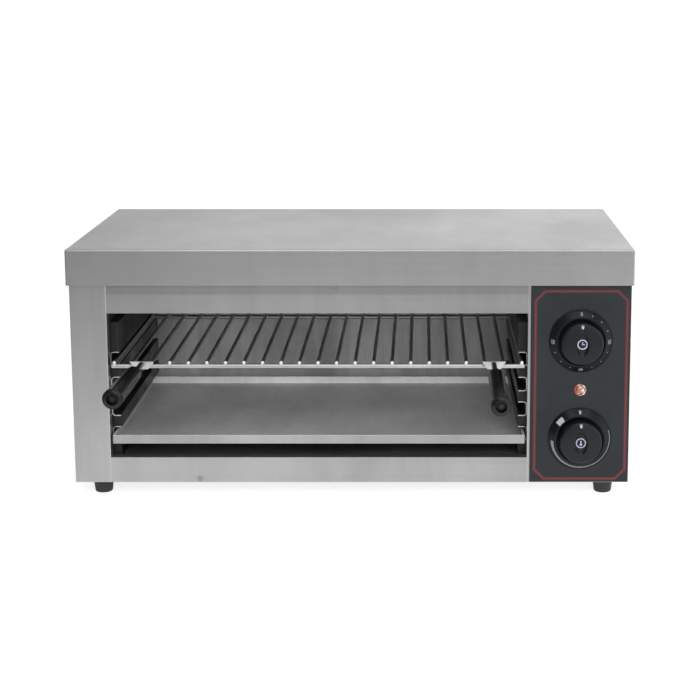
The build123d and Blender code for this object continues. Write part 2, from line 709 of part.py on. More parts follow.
def drip_tray():
    """Flat pan with low walls and a rolled rim turned inwards along the top."""
    x0, x1 = tray_left, tray_right
    y0, y1 = tray_front, tray_rear
    z0 = slot_floor(0) + CLEAR
    z1 = z0 + TRAY_HEIGHT
    outer = block(x0, x1, y0, y1, z0, z1)
    outer = fillet(outer.edges().filter_by(Axis.Z), TRAY_CORNER)
    t = TRAY_SHEET
    pan = outer - block(x0 + t, x1 - t, y0 + t, y1 - t, z0 + t, z1 + 1)
    rim = block(x0 + t / 2, x1 - t / 2, y0 + t / 2, y1 - t / 2, z1 - t, z1)
    rim -= block(x0 + TRAY_RIM, x1 - TRAY_RIM, y0 + TRAY_RIM, y1 - TRAY_RIM, z1 - 2 * t, z1 + 1)
    return pan + rim


# ---- controls ----
def dial_ring(z):
    """Fixed scale ring round a knob: a low cone with a narrow inner land."""
    outer = DIAL_DIAMETER / 2
    bore = dial_bore / 2
    land = bore + DIAL_LAND
    points = [(bore, 0), (outer, 0), (outer, DIAL_EDGE), (land, DIAL_HEIGHT), (bore, DIAL_HEIGHT)]
    ring = turned(points, dial_x, z, plate_front)
    rims = ring.edges().filter_by(GeomType.CIRCLE).filter_by(
        lambda e: e.center().Y < plate_front - DIAL_EDGE / 2)
    return fillet(rims, DIAL_ROUND)


def knob(z):
    """Hollow knob cap with a bored hub, a rounded face and an oval finger dimple."""
    radius = KNOB_DIAMETER / 2
    depth = knob_base - knob_face
    shell = turned([(0, 0), (radius + KNOB_DRAFT, 0), (radius, depth), (0, depth)], dial_x, z, knob_base)
    shell = fillet(shell.faces().sort_by(Axis.Y)[0].edges(), KNOB_ROUND)
    face_y = knob_face + DIMPLE_DEPTH + KNOB_WALL
    shell -= rod_y(dial_x, face_y, knob_base + 1, z, KNOB_DIAMETER - 2 * KNOB_WALL)
    hub_end = knob_base - KNOB_HUB_CLEAR
    shell += rod_y(dial_x, face_y - 1, hub_end, z, KNOB_HUB)
    bore = SHAFT_DIAMETER + 2 * STEM_FIT
    shell -= rod_y(dial_x, hub_end - SHAFT_INTO_KNOB, hub_end + 1, z, bore)
    oval = extrude(Plane.XZ * Ellipse(DIMPLE_WIDTH / 2, DIMPLE_HEIGHT / 2), DIMPLE_DEPTH)
    return shell - Pos(dial_x, knob_face + DIMPLE_DEPTH, z) * oval


def control_shaft(z):
    """Round steel shaft from inside the control's body into the knob's hub."""
    front = knob_base - KNOB_HUB_CLEAR - SHAFT_INTO_KNOB + CLEAR
    return rod_y(dial_x, front, front_inside + SHAFT_INTO_BODY, z, SHAFT_DIAMETER)


def control_body(z, width, height, depth):
    """A closed control housing behind the plate, bored for its shaft, with two spade tabs."""
    x0 = dial_x - width / 2
    x1 = dial_x + width / 2
    body = block(x0, x1, front_inside, front_inside + depth, z - height / 2, z + height / 2)
    body = fillet(body.edges().filter_by(Axis.Y), BODY_ROUND)
    bore = SHAFT_DIAMETER + 2 * SHAFT_FIT
    body -= rod_y(dial_x, front_inside - 1, front_inside + SHAFT_INTO_BODY + 1, z, bore)
    for side in (-1, 1):
        x = dial_x + side * CONTROL_SCREW_GAP / 2
        body -= rod_y(x, front_inside - 1, front_inside + CONTROL_SCREW_WELL, z, SCREW + 2 * SCREW_FIT)
    return body + [spade_tab(x, front_inside + depth, z) for x in tab_places()]


def spade_tab(x, y, z):
    return block(x - TAB_WIDTH / 2, x + TAB_WIDTH / 2, y - 1, y + TAB_LENGTH,
                 z - TAB_SHEET / 2, z + TAB_SHEET / 2)


def tab_places():
    """The two spade tabs on the back of a control, left then right."""
    return [dial_x - CONTROL_SCREW_GAP / 2, dial_x + CONTROL_SCREW_GAP / 2]


def control_screws():
    """Two screws for each control, hidden behind its knob."""
    length = front_inside + CONTROL_SCREW_BITE - plate_front
    return [screw_y(dial_x + side * CONTROL_SCREW_GAP / 2, z, plate_front, length)
            for z in (timer_z, heat_z) for side in (-1, 1)]


def lamp_lens():
    """Domed lens with a flat rim on the fascia."""
    rim = LAMP_LENS / 2
    cap = turned([(0, 0), (rim, 0), (rim, LAMP_RIM * 0.6), (rim - 0.6, LAMP_RIM), (0, LAMP_RIM)],
                 dial_x, lamp_z, plate_front)
    dome_radius = LAMP_BODY / 2 - LAMP_DOME_INSET
    dome = turned([(0, 0), (dome_radius, 0), (dome_radius * 0.96, LAMP_DOME * 0.5),
                   (dome_radius * 0.7, LAMP_DOME * 0.88), (0, LAMP_DOME)],
                  dial_x, lamp_z, plate_front - LAMP_RIM + LAMP_DOME_INSET)
    return cap + dome


def lamp_body():
    """Neon lamp body behind the lens, with two lead pins."""
    body = rod_y(dial_x, plate_front, front_inside + LAMP_BODY_LENGTH, lamp_z, LAMP_BODY)
    for side in (-1, 1):
        body += rod_y(dial_x + side * LAMP_PIN_GAP / 2, front_inside + LAMP_BODY_LENGTH - 1,
                      front_inside + LAMP_BODY_LENGTH + LAMP_PIN_LENGTH, lamp_z, LAMP_PIN)
    return body


def lamp_nut():
    """Push-on clip that holds the lamp behind the plate."""
    end = front_inside + LAMP_NUT_THICKNESS
    ring = rod_y(dial_x, front_inside, end, lamp_z, LAMP_NUT)
    return ring - rod_y(dial_x, front_inside - 1, end + 1, lamp_z, LAMP_BODY + 2 * SHAFT_FIT)


# ---- supply side ----
gland_nose = body_back + GLAND_FLANGE + GLAND_DOME
block_x0 = dial_x - TERMINAL_BLOCK[0] / 2
block_y0 = back_inside - TERMINAL_FROM_BACK
block_top = floor_inside + TERMINAL_BLOCK[2]
earth_x = partition_left + 2 * FLANGE
earth_y = back_inside - TERMINAL_FROM_BACK / 2


def gland():
    """Compression gland: hexagon flange, threaded tail and a domed nut, bored for the supply cord."""
    tail = rod_y(dial_x, back_inside - GLAND_INSIDE, body_back, gland_z, GLAND_THREAD)
    flange = extrude(Plane.XZ * RegularPolygon(GLAND_HEX / 2, 6, major_radius=False), -GLAND_FLANGE)
    flange = Pos(dial_x, body_back, gland_z) * flange
    dome = rod_y(dial_x, body_back + GLAND_FLANGE, gland_nose, gland_z, GLAND_DOME_DIAMETER)
    dome = fillet(dome.faces().sort_by(Axis.Y)[-1].edges(), GLAND_DOME_ROUND)
    body = tail + flange + dome
    return body - rod_y(dial_x, back_inside - GLAND_INSIDE - 1, gland_nose + 1, gland_z, GLAND_BORE)


def gland_locknut():
    y1 = back_inside
    nut = extrude(Plane.XZ * RegularPolygon(GLAND_HEX / 2, 6, major_radius=False), GLAND_NUT_THICKNESS)
    nut = Pos(dial_x, y1, gland_z) * nut
    return nut - rod_y(dial_x, y1 - 2 * GLAND_NUT_THICKNESS, y1 + 1, gland_z,
                       GLAND_THREAD + 2 * SHAFT_FIT)


def pole_x(pole):
    return block_x0 + TERMINAL_BLOCK[0] * (pole + 0.5) / TERMINAL_POLES


def terminal_block():
    """Moulded connector strip on the base plate, with a screw well over each pole."""
    x, y, z = TERMINAL_BLOCK
    strip = block(block_x0, block_x0 + x, block_y0, block_y0 + y, floor_inside, block_top)
    for pole in range(TERMINAL_POLES):
        strip -= rod_z(pole_x(pole), block_y0 + POLE_WELL_FROM_FRONT, block_top - POLE_WELL_DEPTH,
                       block_top + 1, POLE_WELL)
    for pole in range(TERMINAL_POLES - 1):
        cut = (pole_x(pole) + pole_x(pole + 1)) / 2
        strip -= block(cut - POLE_GROOVE / 2, cut + POLE_GROOVE / 2, block_y0 - 1, block_y0 + y + 1,
                       block_top - POLE_GROOVE_DEPTH, block_top + 1)
    return strip


def earth_stud():
    """Bolt up through the base plate with its nut, for the earth lead."""
    bolt = rod_z(earth_x, earth_y, body_bottom, floor_inside + EARTH_STUD_RISE, SCREW)
    head = hexagon_z(earth_x, earth_y, body_bottom - EARTH_HEAD_HEIGHT, body_bottom, SCREW_HEAD)
    nut = hexagon_z(earth_x, earth_y, floor_inside, floor_inside + EARTH_NUT_HEIGHT, SCREW_HEAD)
    return bolt + head + nut


def wire(points, start_dir):
    """A round lead along straight runs joined by arcs as large as the runs allow."""
    radii = []
    for a, b, c in zip(points, points[1:], points[2:]):
        u = Vector(*b) - Vector(*a)
        v = Vector(*c) - Vector(*b)
        turn = radians(u.get_angle(v))
        reach = 0.45 * min(u.length, v.length)
        radii.append(reach * cos(turn / 2) / sin(turn / 2))
    path = FilletPolyline(*points, radius=radii)
    section = Plane(points[0], z_dir=start_dir) * Circle(WIRE_DIAMETER / 2)
    return sweep(section, path=path)


def live_leads():
    """Terminal block to timer, timer to regulator, regulator to the element ends."""
    y_timer = front_inside + TIMER_BODY_DEPTH + TAB_LENGTH
    y_heat = front_inside + REGULATOR_DEPTH + TAB_LENGTH
    left, right = tab_places()
    x, z = pole_x(0), block_top - LEAD_BELOW_TOP
    feed = wire([(x, block_y0, z), (x, block_y0 - 24, z), (x + 4, block_y0 - 50, z + 34),
                 (right + 12, (y_timer + block_y0) / 2, lamp_z - 10), (right + 6, y_timer + 44, timer_z - 8),
                 (right, y_timer + 20, timer_z), (right, y_timer, timer_z)], (0, -1, 0))
    link = wire([(left, y_timer, timer_z), (left, y_timer + 22, timer_z),
                 (left - 2, y_timer + 34, timer_z - 26),
                 (left - 3, y_timer + 32, lamp_z - 10), (left, y_heat + 24, heat_z), (left, y_heat, heat_z)],
                (0, 1, 0))
    pin_x, leg = element_pin_x(), element_legs()[0]
    out = wire([(right, y_heat, heat_z), (right, y_heat + 22, heat_z), (right + 2, y_heat + 40, heat_z + 28),
                (right - 6, y_heat + 52, timer_z - 20), (pin_x + 34, leg + 30, element_z - 20),
                (pin_x + 22, leg, element_z), (pin_x, leg, element_z)], (0, 1, 0))
    return [feed, link, out]


def element_pin_x():
    """Where the elements' terminal pins end in the control box."""
    return partition_left + SHEET + ELEMENT_COLD_END + ELEMENT_PIN_LENGTH


def neutral_lead():
    """Terminal block to the rear element end."""
    pin_x, leg = element_pin_x(), element_legs()[-1]
    x, z = pole_x(2), block_top - LEAD_BELOW_TOP
    return wire([(x, block_y0, z), (x, block_y0 - 18, z), (x, block_y0 - 30, z + 30),
                 (pin_x + 44, leg + 4, (z + element_z) / 2), (pin_x + 34, leg, element_z - 30),
                 (pin_x + 20, leg, element_z), (pin_x, leg, element_z)], (0, -1, 0))


def element_links():
    """Flat straps that join the element ends in one row, pin to pin."""
    pin_x, legs = element_pin_x(), element_legs()
    half = LINK_WIDTH / 2
    return [block(pin_x, pin_x + LINK_SHEET, a - half, b + half, element_z - half, element_z + half)
            for a, b in zip(legs[1::2], legs[2::2])]


def earth_lead():
    """Terminal block to the earth stud."""
    x, z = pole_x(3), block_top - LEAD_BELOW_TOP
    y = block_y0 + TERMINAL_BLOCK[1]
    top = floor_inside + EARTH_STUD_RISE
    return wire([(x, y, z), (x, y + 8, z), (x - 10, y + 12, top + 18), (earth_x + 8, earth_y + 4, top + 26),
                 (earth_x, earth_y, top + 14), (earth_x, earth_y, top)], (0, 1, 0))


# ---- feet and screws ----
def foot_places():
    xs = body_x - FOOT_INSET_X
    ys = (body_front + FOOT_INSET_Y, body_back - FOOT_INSET_Y)
    return [(x, y) for x in (-xs, xs) for y in ys]


def foot(x, y):
    """Tapered rubber foot with a recess for its screw's head."""
    profile = Polyline((0, 0), (FOOT_BOTTOM / 2, 0), (FOOT_TOP / 2, FOOT_HEIGHT), (0, FOOT_HEIGHT),
                       close=True)
    body = revolve(make_face(Plane.XZ * profile), Axis.Z)
    body = fillet(body.faces().sort_by(Axis.Z)[0].edges(), FOOT_ROUND)
    body -= rod_z(0, 0, -1, FOOT_RECESS_DEPTH, FOOT_RECESS)
    body -= rod_z(0, 0, 0, FOOT_HEIGHT + 1, FOOT_SCREW + 2 * SCREW_FIT)
    return Pos(x, y, 0) * body


def foot_screw(x, y):
    shank = rod_z(x, y, FOOT_RECESS_DEPTH - 1, floor_inside + FOOT_NUT_HEIGHT + 1, FOOT_SCREW)
    head = rod_z(x, y, FOOT_RECESS_DEPTH - FOOT_SCREW_HEAD_HEIGHT, FOOT_RECESS_DEPTH, FOOT_SCREW_HEAD)
    return shank + head


def foot_nut(x, y):
    nut = hexagon_z(x, y, floor_inside, floor_inside + FOOT_NUT_HEIGHT, FOOT_NUT)
    return nut - rod_z(x, y, floor_inside - 1, floor_inside + 2 * FOOT_NUT_HEIGHT,
                       FOOT_SCREW + 2 * STEM_FIT)


def back_screws():
    return [screw_y(x, z, body_back, BACK_SCREW_LENGTH, direction=-1) for x, z in back_screw_places()]


def lid_screws():
    return [screw_y(x, lid_screw_z, LID_DEPTH, LID_SCREW_LENGTH, direction=-1) for x in lid_screw_places()]


# ---- the whole object ----
def nodes():
    """Every node's name with its solid or list of solids, in the shell's own frame."""
    left = (handle_left_x, LEFT_HANDLE_RISE)
    right = (handle_right_x, RIGHT_HANDLE_RISE)
    made = {
        "top_cover": top_cover(),
        "left_side_panel": left_side_panel(),
        "right_side_panel": right_side_panel(),
        "back_panel": back_panel(),
        "base_plate": base_plate(),
        "header_panel": header_panel(),
        "sill_panel": sill_panel(),
        "front_rivets": front_rivets(),
        "control_plate": control_plate(),
        "control_fascia": fascia(),
        "partition_wall": partition_wall(),
        "cavity_left_wall": cavity_left_wall(),
        "cavity_back_wall": cavity_back_wall(),
        "cavity_floor": cavity_floor(),
        "cavity_ceiling": ceiling(),
        "rack_guide_left": rack_guide(-1),
        "rack_guide_right": rack_guide(1),
        "element_bushes": element_bushes(),
        "element_hangers": element_hangers(),
        "element_links": element_links(),
        "wire_rack": wire_rack(),
        "handle_bracket_left": handle_bracket(left[0]),
        "handle_bracket_right": handle_bracket(right[0]),
        "handle_stem_left": handle_stem(*left),
        "handle_stem_right": handle_stem(*right),
        "handle_grip_left": handle_grip(*left),
        "handle_grip_right": handle_grip(*right),
        "handle_nuts": [handle_nut(*left), handle_nut(*right)],
        "drip_tray": drip_tray(),
        "timer_body": control_body(timer_z, TIMER_BODY, TIMER_BODY, TIMER_BODY_DEPTH),
        "timer_shaft": control_shaft(timer_z),
        "timer_knob": knob(timer_z),
        "timer_dial_ring": dial_ring(timer_z),
        "heat_regulator_body": control_body(heat_z, REGULATOR_WIDTH, REGULATOR_HEIGHT, REGULATOR_DEPTH),
        "heat_shaft": control_shaft(heat_z),
        "heat_knob": knob(heat_z),
        "heat_dial_ring": dial_ring(heat_z),
        "control_screws": control_screws(),
        "pilot_lamp_lens": lamp_lens(),
        "pilot_lamp_body": lamp_body(),
        "pilot_lamp_clip": lamp_nut(),
        "cable_gland": gland(),
        "gland_locknut": gland_locknut(),
        "terminal_block": terminal_block(),
        "earth_stud": earth_stud(),
        "live_leads": live_leads(),
        "neutral_lead": neutral_lead(),
        "earth_lead": earth_lead(),
        "rubber_feet": [foot(x, y) for x, y in foot_places()],
        "foot_screws": [foot_screw(x, y) for x, y in foot_places()],
        "foot_nuts": [foot_nut(x, y) for x, y in foot_places()],
        "back_screws": back_screws(),
        "lid_screws": lid_screws(),
    }
    for name, middle in zip(("front", "middle", "rear"), element_middles()):
        made["heating_element_" + name] = heating_element(middle)
    return made


def solids_of(made):
    """The solids of a node, whether it was given as one shape or as a list."""
    shapes = made if isinstance(made, list) else [made]
    return [solid for shape in shapes for solid in shape.solids()]


def main():
    os.makedirs("parts", exist_ok=True)
    made = {name: solids_of(shape) for name, shape in nodes().items()}
    boxes = [solid.bounding_box() for solids in made.values() for solid in solids]
    middle_y = (min(b.min.Y for b in boxes) + max(b.max.Y for b in boxes)) / 2
    print("middle of the footprint in the shell's frame: y =", round(middle_y, 4))
    for name, solids in made.items():
        moved = [Pos(0, -middle_y, 0) * solid for solid in solids]
        shape = moved[0] if len(moved) == 1 else Compound(children=moved)
        export_step(shape, "parts/" + name + ".step")
    return middle_y


if __name__ == "__main__":
    main()
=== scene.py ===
"""Looks of a countertop cheese melter, put on the frame that the construction model packs to.

Everything is in metres in the frame's own axes: +X right seen from the front, -Y towards the user,
+Z up, the origin on the table in the middle of the footprint.
"""

from math import cos, pi, radians, sin

import bpy
import numpy as np
from bpy.props import FloatProperty, FloatVectorProperty, IntProperty, PointerProperty
from bpy.types import Operator, Panel, PropertyGroup
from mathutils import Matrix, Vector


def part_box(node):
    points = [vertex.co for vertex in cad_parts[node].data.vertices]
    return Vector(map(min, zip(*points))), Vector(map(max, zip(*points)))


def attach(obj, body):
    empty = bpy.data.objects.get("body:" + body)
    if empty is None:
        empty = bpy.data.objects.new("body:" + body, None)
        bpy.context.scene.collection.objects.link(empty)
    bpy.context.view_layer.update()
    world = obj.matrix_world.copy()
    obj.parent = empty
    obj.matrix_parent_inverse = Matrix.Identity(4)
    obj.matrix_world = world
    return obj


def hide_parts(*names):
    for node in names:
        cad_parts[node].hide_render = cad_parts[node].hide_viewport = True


bl_info = {
    "name": "Cheese melter finishes",
    "version": (1, 0, 0),
    "blender": (4, 5, 0),
    "location": "View3D > Sidebar > Melter",
    "description": "Builds the visible finishes and small pieces of a countertop cheese melter",
    "category": "Object",
}

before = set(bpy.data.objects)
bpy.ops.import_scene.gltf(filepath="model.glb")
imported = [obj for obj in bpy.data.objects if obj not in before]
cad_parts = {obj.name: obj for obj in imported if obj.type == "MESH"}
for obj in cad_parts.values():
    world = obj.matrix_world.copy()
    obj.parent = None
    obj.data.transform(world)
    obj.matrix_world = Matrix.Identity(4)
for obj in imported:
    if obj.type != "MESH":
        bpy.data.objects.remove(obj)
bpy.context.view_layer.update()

MM = 0.001
COORDS = "ShaderNodeTexCoord"
MARK_LIFT = 0.08 * MM      # how far a printed mark stands over its surface
MARK_SINK = 0.12 * MM      # how far its underside lies below the surface
CAP_DRAFT = 0.6 * MM       # how much narrower a cap is at its face than at its foot


# ---- sizes and colours a user may change ----
def length(name, description, default):
    return FloatProperty(name=name, description=description, default=default, min=0.0,
                         precision=5, subtype="DISTANCE", unit="LENGTH")


def colour(name, description, default):
    return FloatVectorProperty(name=name, description=description, default=default,
                               size=3, min=0.0, max=1.0, subtype="COLOR")


def share(name, description, default):
    return FloatProperty(name=name, description=description, default=default, min=0.0, max=1.0,
                         subtype="FACTOR")


class MelterSteel(PropertyGroup):
    """The bare sheet of the shell, tray and cavity."""
    sheet: colour("Sheet", "Colour of the brushed sheet", (0.45, 0.45, 0.45))
    sheet_roughness: share("Sheet roughness", "How widely the brushed sheet spreads a reflection", 0.34)
    tray: colour("Tray", "Colour of the drip tray", (0.55, 0.55, 0.55))
    cavity: colour("Cavity", "Colour of the cavity's back wall", (0.36, 0.36, 0.355))
    fold_radius: length("Fold radius", "Rounding seen along folds and cut edges", 0.7 * MM)
    lid_fold: length("Lid fold", "Rounding seen along the lid's folds", 0.3 * MM)
    column_fold: length("Column fold", "Rounding of the front column's fold", 1.5 * MM)


class MelterGuide(PropertyGroup):
    """Slots of the two shelf guides."""
    lowest: length("Lowest slot", "Lowest slot's floor above the table", 62.9 * MM)
    pitch: length("Pitch", "From one slot's floor to the next", 28.0 * MM)
    height: length("Slot height", "Height of a slot", 14.0 * MM)
    corner: length("Slot corner", "Rounding of a slot's inner corners", 3.2 * MM)
    edge: length("Edge", "Thickness of the bare edge round a slot", 1.3 * MM)
    count: IntProperty(name="Slots", description="Number of slots in a guide", default=4, min=1)


class MelterPrint(PropertyGroup):
    """The printed lines of the control plate."""
    line_left: length("Line to plate's left", "Gap from the plate's left edge", 5.2 * MM)
    line_right: length("Line to plate's right", "Gap from the plate's right edge", 3.9 * MM)
    line_top: length("Line to lid", "Gap from the lid's lower edge", 7.6 * MM)
    line_bottom: length("Line to plate's foot", "Gap from the plate's lower edge", 3.7 * MM)
    line_width: length("Line width", "Width of the border line", 3.4 * MM)
    corner: length("Corner cut", "Length cut from each corner of the border", 10.5 * MM)
    line: colour("Line", "Ink of the border line", (0.058, 0.007, 0.010))
    line_middle: colour("Line middle", "Ink along the middle of the border line", (0.095, 0.018, 0.024))


class MelterDial(PropertyGroup):
    """Knob caps and the marks round them."""
    ink: colour("Ring ink", "Marks on the rings", (0.27, 0.30, 0.34))
    cap_ink: colour("Cap ink", "Marks on the caps", (0.26, 0.29, 0.38))
    faint_ink: colour("Faint ink", "The sickle round the heat dial", (0.17, 0.19, 0.22))
    cone_land: length("Land", "Width of the ring's flat inner land", 2.0 * MM)
    cone_edge: length("Edge", "Thickness of the ring at its rim", 1.5 * MM)
    ring_gap: length("Ring gap", "Gap from the cap to the ring's bore", 1.9 * MM)
    mark_radius: length("Mark radius", "Distance of the marks from the dial's axis", 30.6 * MM)
    digit_height: length("Digit height", "Height of the numbers", 3.6 * MM)
    cap_round: length("Cap rounding", "Rounding at the edge of the cap's face", 2.6 * MM)
    cap_crown: length("Cap crown", "How far the cap's face bulges in its middle", 2.0 * MM)
    dish_width: length("Dish width", "Width of the finger dish", 15.0 * MM)
    dish_height: length("Dish height", "Height of the finger dish", 26.0 * MM)
    dish_depth: length("Dish depth", "Depth of the finger dish", 3.0 * MM)


class MelterRack(PropertyGroup):
    """Wires of the rack."""
    frame_wire: length("Frame wire", "Diameter of the front and rear wires", 5.0 * MM)
    side_wire: length("Side wire", "Diameter of the side wires", 4.4 * MM)
    cross_wire: length("Cross wire", "Diameter of the cross wires", 4.0 * MM)
    side_inset: length("Side inset", "Outermost cross wires from the frame wires' ends", 3.4 * MM)
    gaps: IntProperty(name="Gaps", description="Number of gaps between cross wires", default=22, min=2)


class MelterStage(PropertyGroup):
    """Floor, light and camera."""
    floor: colour("Floor", "Colour of the floor", (0.97, 0.97, 0.97))
    shadow: share("Shadow", "How much of the floor's brightness the object's shadow takes away", 0.45)
    room: FloatProperty(name="Room light", description="Light of the room on the object",
                        default=0.32, min=0.0)
    front: FloatProperty(name="Front of room", description="Brightness of the room in front",
                         default=0.45, min=0.0)
    window: FloatProperty(name="Window", description="Added brightness of the room above the camera",
                          default=0.8, min=0.0)
    slope: FloatProperty(name="Side slope", description="How much brighter the room is to the right",
                         default=1.4, min=0.0, max=2.0)
    overhead: FloatProperty(name="Overhead", description="Power of the overhead softbox in watts",
                            default=20.0, min=0.0)
    fill: FloatProperty(name="Fill", description="Power of the softbox behind the camera in watts",
                        default=66.0, min=0.0)
    lens: FloatProperty(name="Lens", description="Focal length in mm on a 36 mm wide frame",
                        default=88.345, min=1.0)
    tilt: FloatProperty(name="Tilt", description="Camera's pitch from straight down",
                        default=radians(79.82), subtype="ANGLE")


PROPERTY_GROUPS = {
    "melter_steel": MelterSteel,
    "melter_guide": MelterGuide,
    "melter_print": MelterPrint,
    "melter_dial": MelterDial,
    "melter_rack": MelterRack,
    "melter_stage": MelterStage,
}


# ---- surfaces from arrays ----
def polygons_of(faces):
    """Every face of a list of index arrays, as one list of tuples."""
    return [tuple(face) for block in faces for face in block.tolist()]


def volume(points, faces):
    """Signed volume: each face is cut into triangles from its first corner, and each triangle
    adds a sixth of the triple product of its corners."""
    total = 0.0
    for block in faces:
        for k in range(1, block.shape[1] - 1):
            a, b, c = points[block[:, 0]], points[block[:, k]], points[block[:, k + 1]]
            total += np.einsum("ij,ij->i", a, np.cross(b, c)).sum() / 6
    return total


def outward(points, faces):
    """The same closed surface with its faces turned outwards."""
    if volume(points - points.mean(0), faces) < 0:
        faces = [block[:, ::-1] for block in faces]
    return points, faces


def joined(parts):
    """Several surfaces as one, each face index moved on by the points before it."""
    points, faces, start = [], [], 0
    for part_points, part_faces in parts:
        points.append(part_points)
        faces += [block + start for block in part_faces]
        start += len(part_points)
    return np.concatenate(points), faces


def skin(rings, loop=False):
    """A closed surface over rings of points, (rings, points, 3). Neighbouring rings are joined by
    quads; the two ends are closed by fans to their middles, or with loop the last ring joins the first."""
    rows, columns = rings.shape[:2]
    points = rings.reshape(-1, 3)
    here = np.arange(columns)
    after = (here + 1) % columns
    steps = np.arange(rows if loop else rows - 1)[:, None]
    low, high = steps * columns, ((steps + 1) % rows) * columns
    quads = np.stack([low + here, low + after, high + after, high + here], -1).reshape(-1, 4)
    faces = [quads]
    if not loop:
        last = (rows - 1) * columns
        first_middle, last_middle = len(points), len(points) + 1
        points = np.concatenate([points, [rings[0].mean(0), rings[-1].mean(0)]])
        faces.append(np.stack([after, here, np.full(columns, first_middle)], -1))
        faces.append(np.stack([last + here, last + after, np.full(columns, last_middle)], -1))
    return outward(points, faces)


def turned(profile, x, y, z, sides=96):
    """A profile of (radius, reach) turned about a line along -Y through (x, z): a point is the
    radius round the line and the reach in front of y."""
    angle = np.linspace(0, 2 * pi, sides, endpoint=False)
    radius, reach = np.array(profile).T
    across = x + radius[:, None] * np.sin(angle)
    up = z + radius[:, None] * np.cos(angle)
    forward = np.broadcast_to(y - reach[:, None], across.shape)
    return skin(np.stack([across, forward, up], -1))


def tube(line, radius, sides=20, chamfer=0.0):
    """A round bar along a line of points. Each ring stands square to the line, built from the
    line's direction and two vectors across it; a chamfer adds a smaller ring at each end."""
    line = np.asarray(line, float)
    radius = np.broadcast_to(np.asarray(radius, float), (len(line),)).copy()
    if chamfer:
        direction = line[1:2] - line[:1], line[-1:] - line[-2:-1]
        first = line[:1] + chamfer * direction[0] / np.linalg.norm(direction[0])
        last = line[-1:] - chamfer * direction[1] / np.linalg.norm(direction[1])
        radius = np.concatenate([[radius[0] - chamfer, radius[0]], radius[1:-1],
                                 [radius[-1], radius[-1] - chamfer]])
        line = np.concatenate([line[:1], first, line[1:-1], last, line[-1:]])
    along = np.gradient(line, axis=0)
    along /= np.linalg.norm(along, axis=1, keepdims=True)
    helper = np.eye(3)[np.argmin(np.abs(along).sum(0))]
    first = np.cross(along, helper)
    first /= np.linalg.norm(first, axis=1, keepdims=True)
    second = np.cross(along, first)
    angle = np.linspace(0, 2 * pi, sides, endpoint=False)[None, :, None]
    ring = first[:, None] * np.cos(angle) + second[:, None] * np.sin(angle)
    return skin(line[:, None] + radius[:, None, None] * ring)


def ball(centre, size, rows=6, sides=8):
    """A flattened ball: circles of latitude scaled along each axis."""
    up = np.linspace(-1, 1, rows + 2)[1:-1] * pi / 2
    angle = np.linspace(0, 2 * pi, sides, endpoint=False)
    x = np.cos(up)[:, None] * np.cos(angle)
    y = np.cos(up)[:, None] * np.sin(angle)
    z = np.broadcast_to(np.sin(up)[:, None], x.shape)
    return skin(np.array(centre) + np.stack([x, y, z], -1) * np.array(size))


def slab(points, faces, place, lift=MARK_LIFT):
    """A printed mark: a flat shape laid on a surface by place(u, v, lift). The raised shape and
    its sunk copy are joined along every edge that only one face has."""
    u, v = points.T
    top, low = place(u, v, lift), place(u, v, -MARK_SINK)
    count = len(points)
    edges = np.concatenate([np.stack([b[:, k], np.roll(b, -1, 1)[:, k]], -1)
                            for b in faces for k in range(b.shape[1])])
    key, back = edges[:, 0] * count + edges[:, 1], edges[:, 1] * count + edges[:, 0]
    rim = edges[~np.isin(key, back)]
    walls = np.stack([rim[:, 1], rim[:, 0], rim[:, 0] + count, rim[:, 1] + count], -1)
    under = [block[:, ::-1] + count for block in faces]
    return outward(np.concatenate([top, low]), faces + under + [walls])


def flat_strip(line, width, loop=False):
    """A band of the given width along a flat line: each point moves half the width to both sides."""
    line = np.asarray(line, float)
    ahead = np.roll(line, -1, 0) - line
    behind = line - np.roll(line, 1, 0)
    if not loop:
        ahead[-1], behind[0] = behind[-1], ahead[0]
    ahead /= np.linalg.norm(ahead, axis=1, keepdims=True)
    behind /= np.linalg.norm(behind, axis=1, keepdims=True)
    middle = ahead + behind
    middle /= np.linalg.norm(middle, axis=1, keepdims=True)
    normal = np.stack([-middle[:, 1], middle[:, 0]], -1)
    stretch = 1 / np.clip((middle * ahead).sum(1), 0.5, 1)
    offset = normal * (np.broadcast_to(width, (len(line),)) / 2 * stretch)[:, None]
    count = len(line)
    i = np.arange(count if loop else count - 1)
    j = (i + 1) % count
    return np.concatenate([line + offset, line - offset]), [np.stack([i + count, j + count, j, i], -1)]


def flat_disc(centre, radius, sides=14):
    """A disc: a fan of triangles from its middle."""
    angle = np.linspace(0, 2 * pi, sides, endpoint=False)
    rim = np.array(centre) + radius * np.stack([np.cos(angle), np.sin(angle)], -1)
    i = np.arange(sides)
    return np.concatenate([rim, [centre]]), [np.stack([i, (i + 1) % sides, np.full(sides, sides)], -1)]


def arc(centre, radius, start, end, count):
    """Points of a circle's arc, angles in degrees clockwise from the top."""
    angle = np.radians(np.linspace(start, end, count))
    return np.array(centre) + radius * np.stack([np.sin(angle), np.cos(angle)], -1)


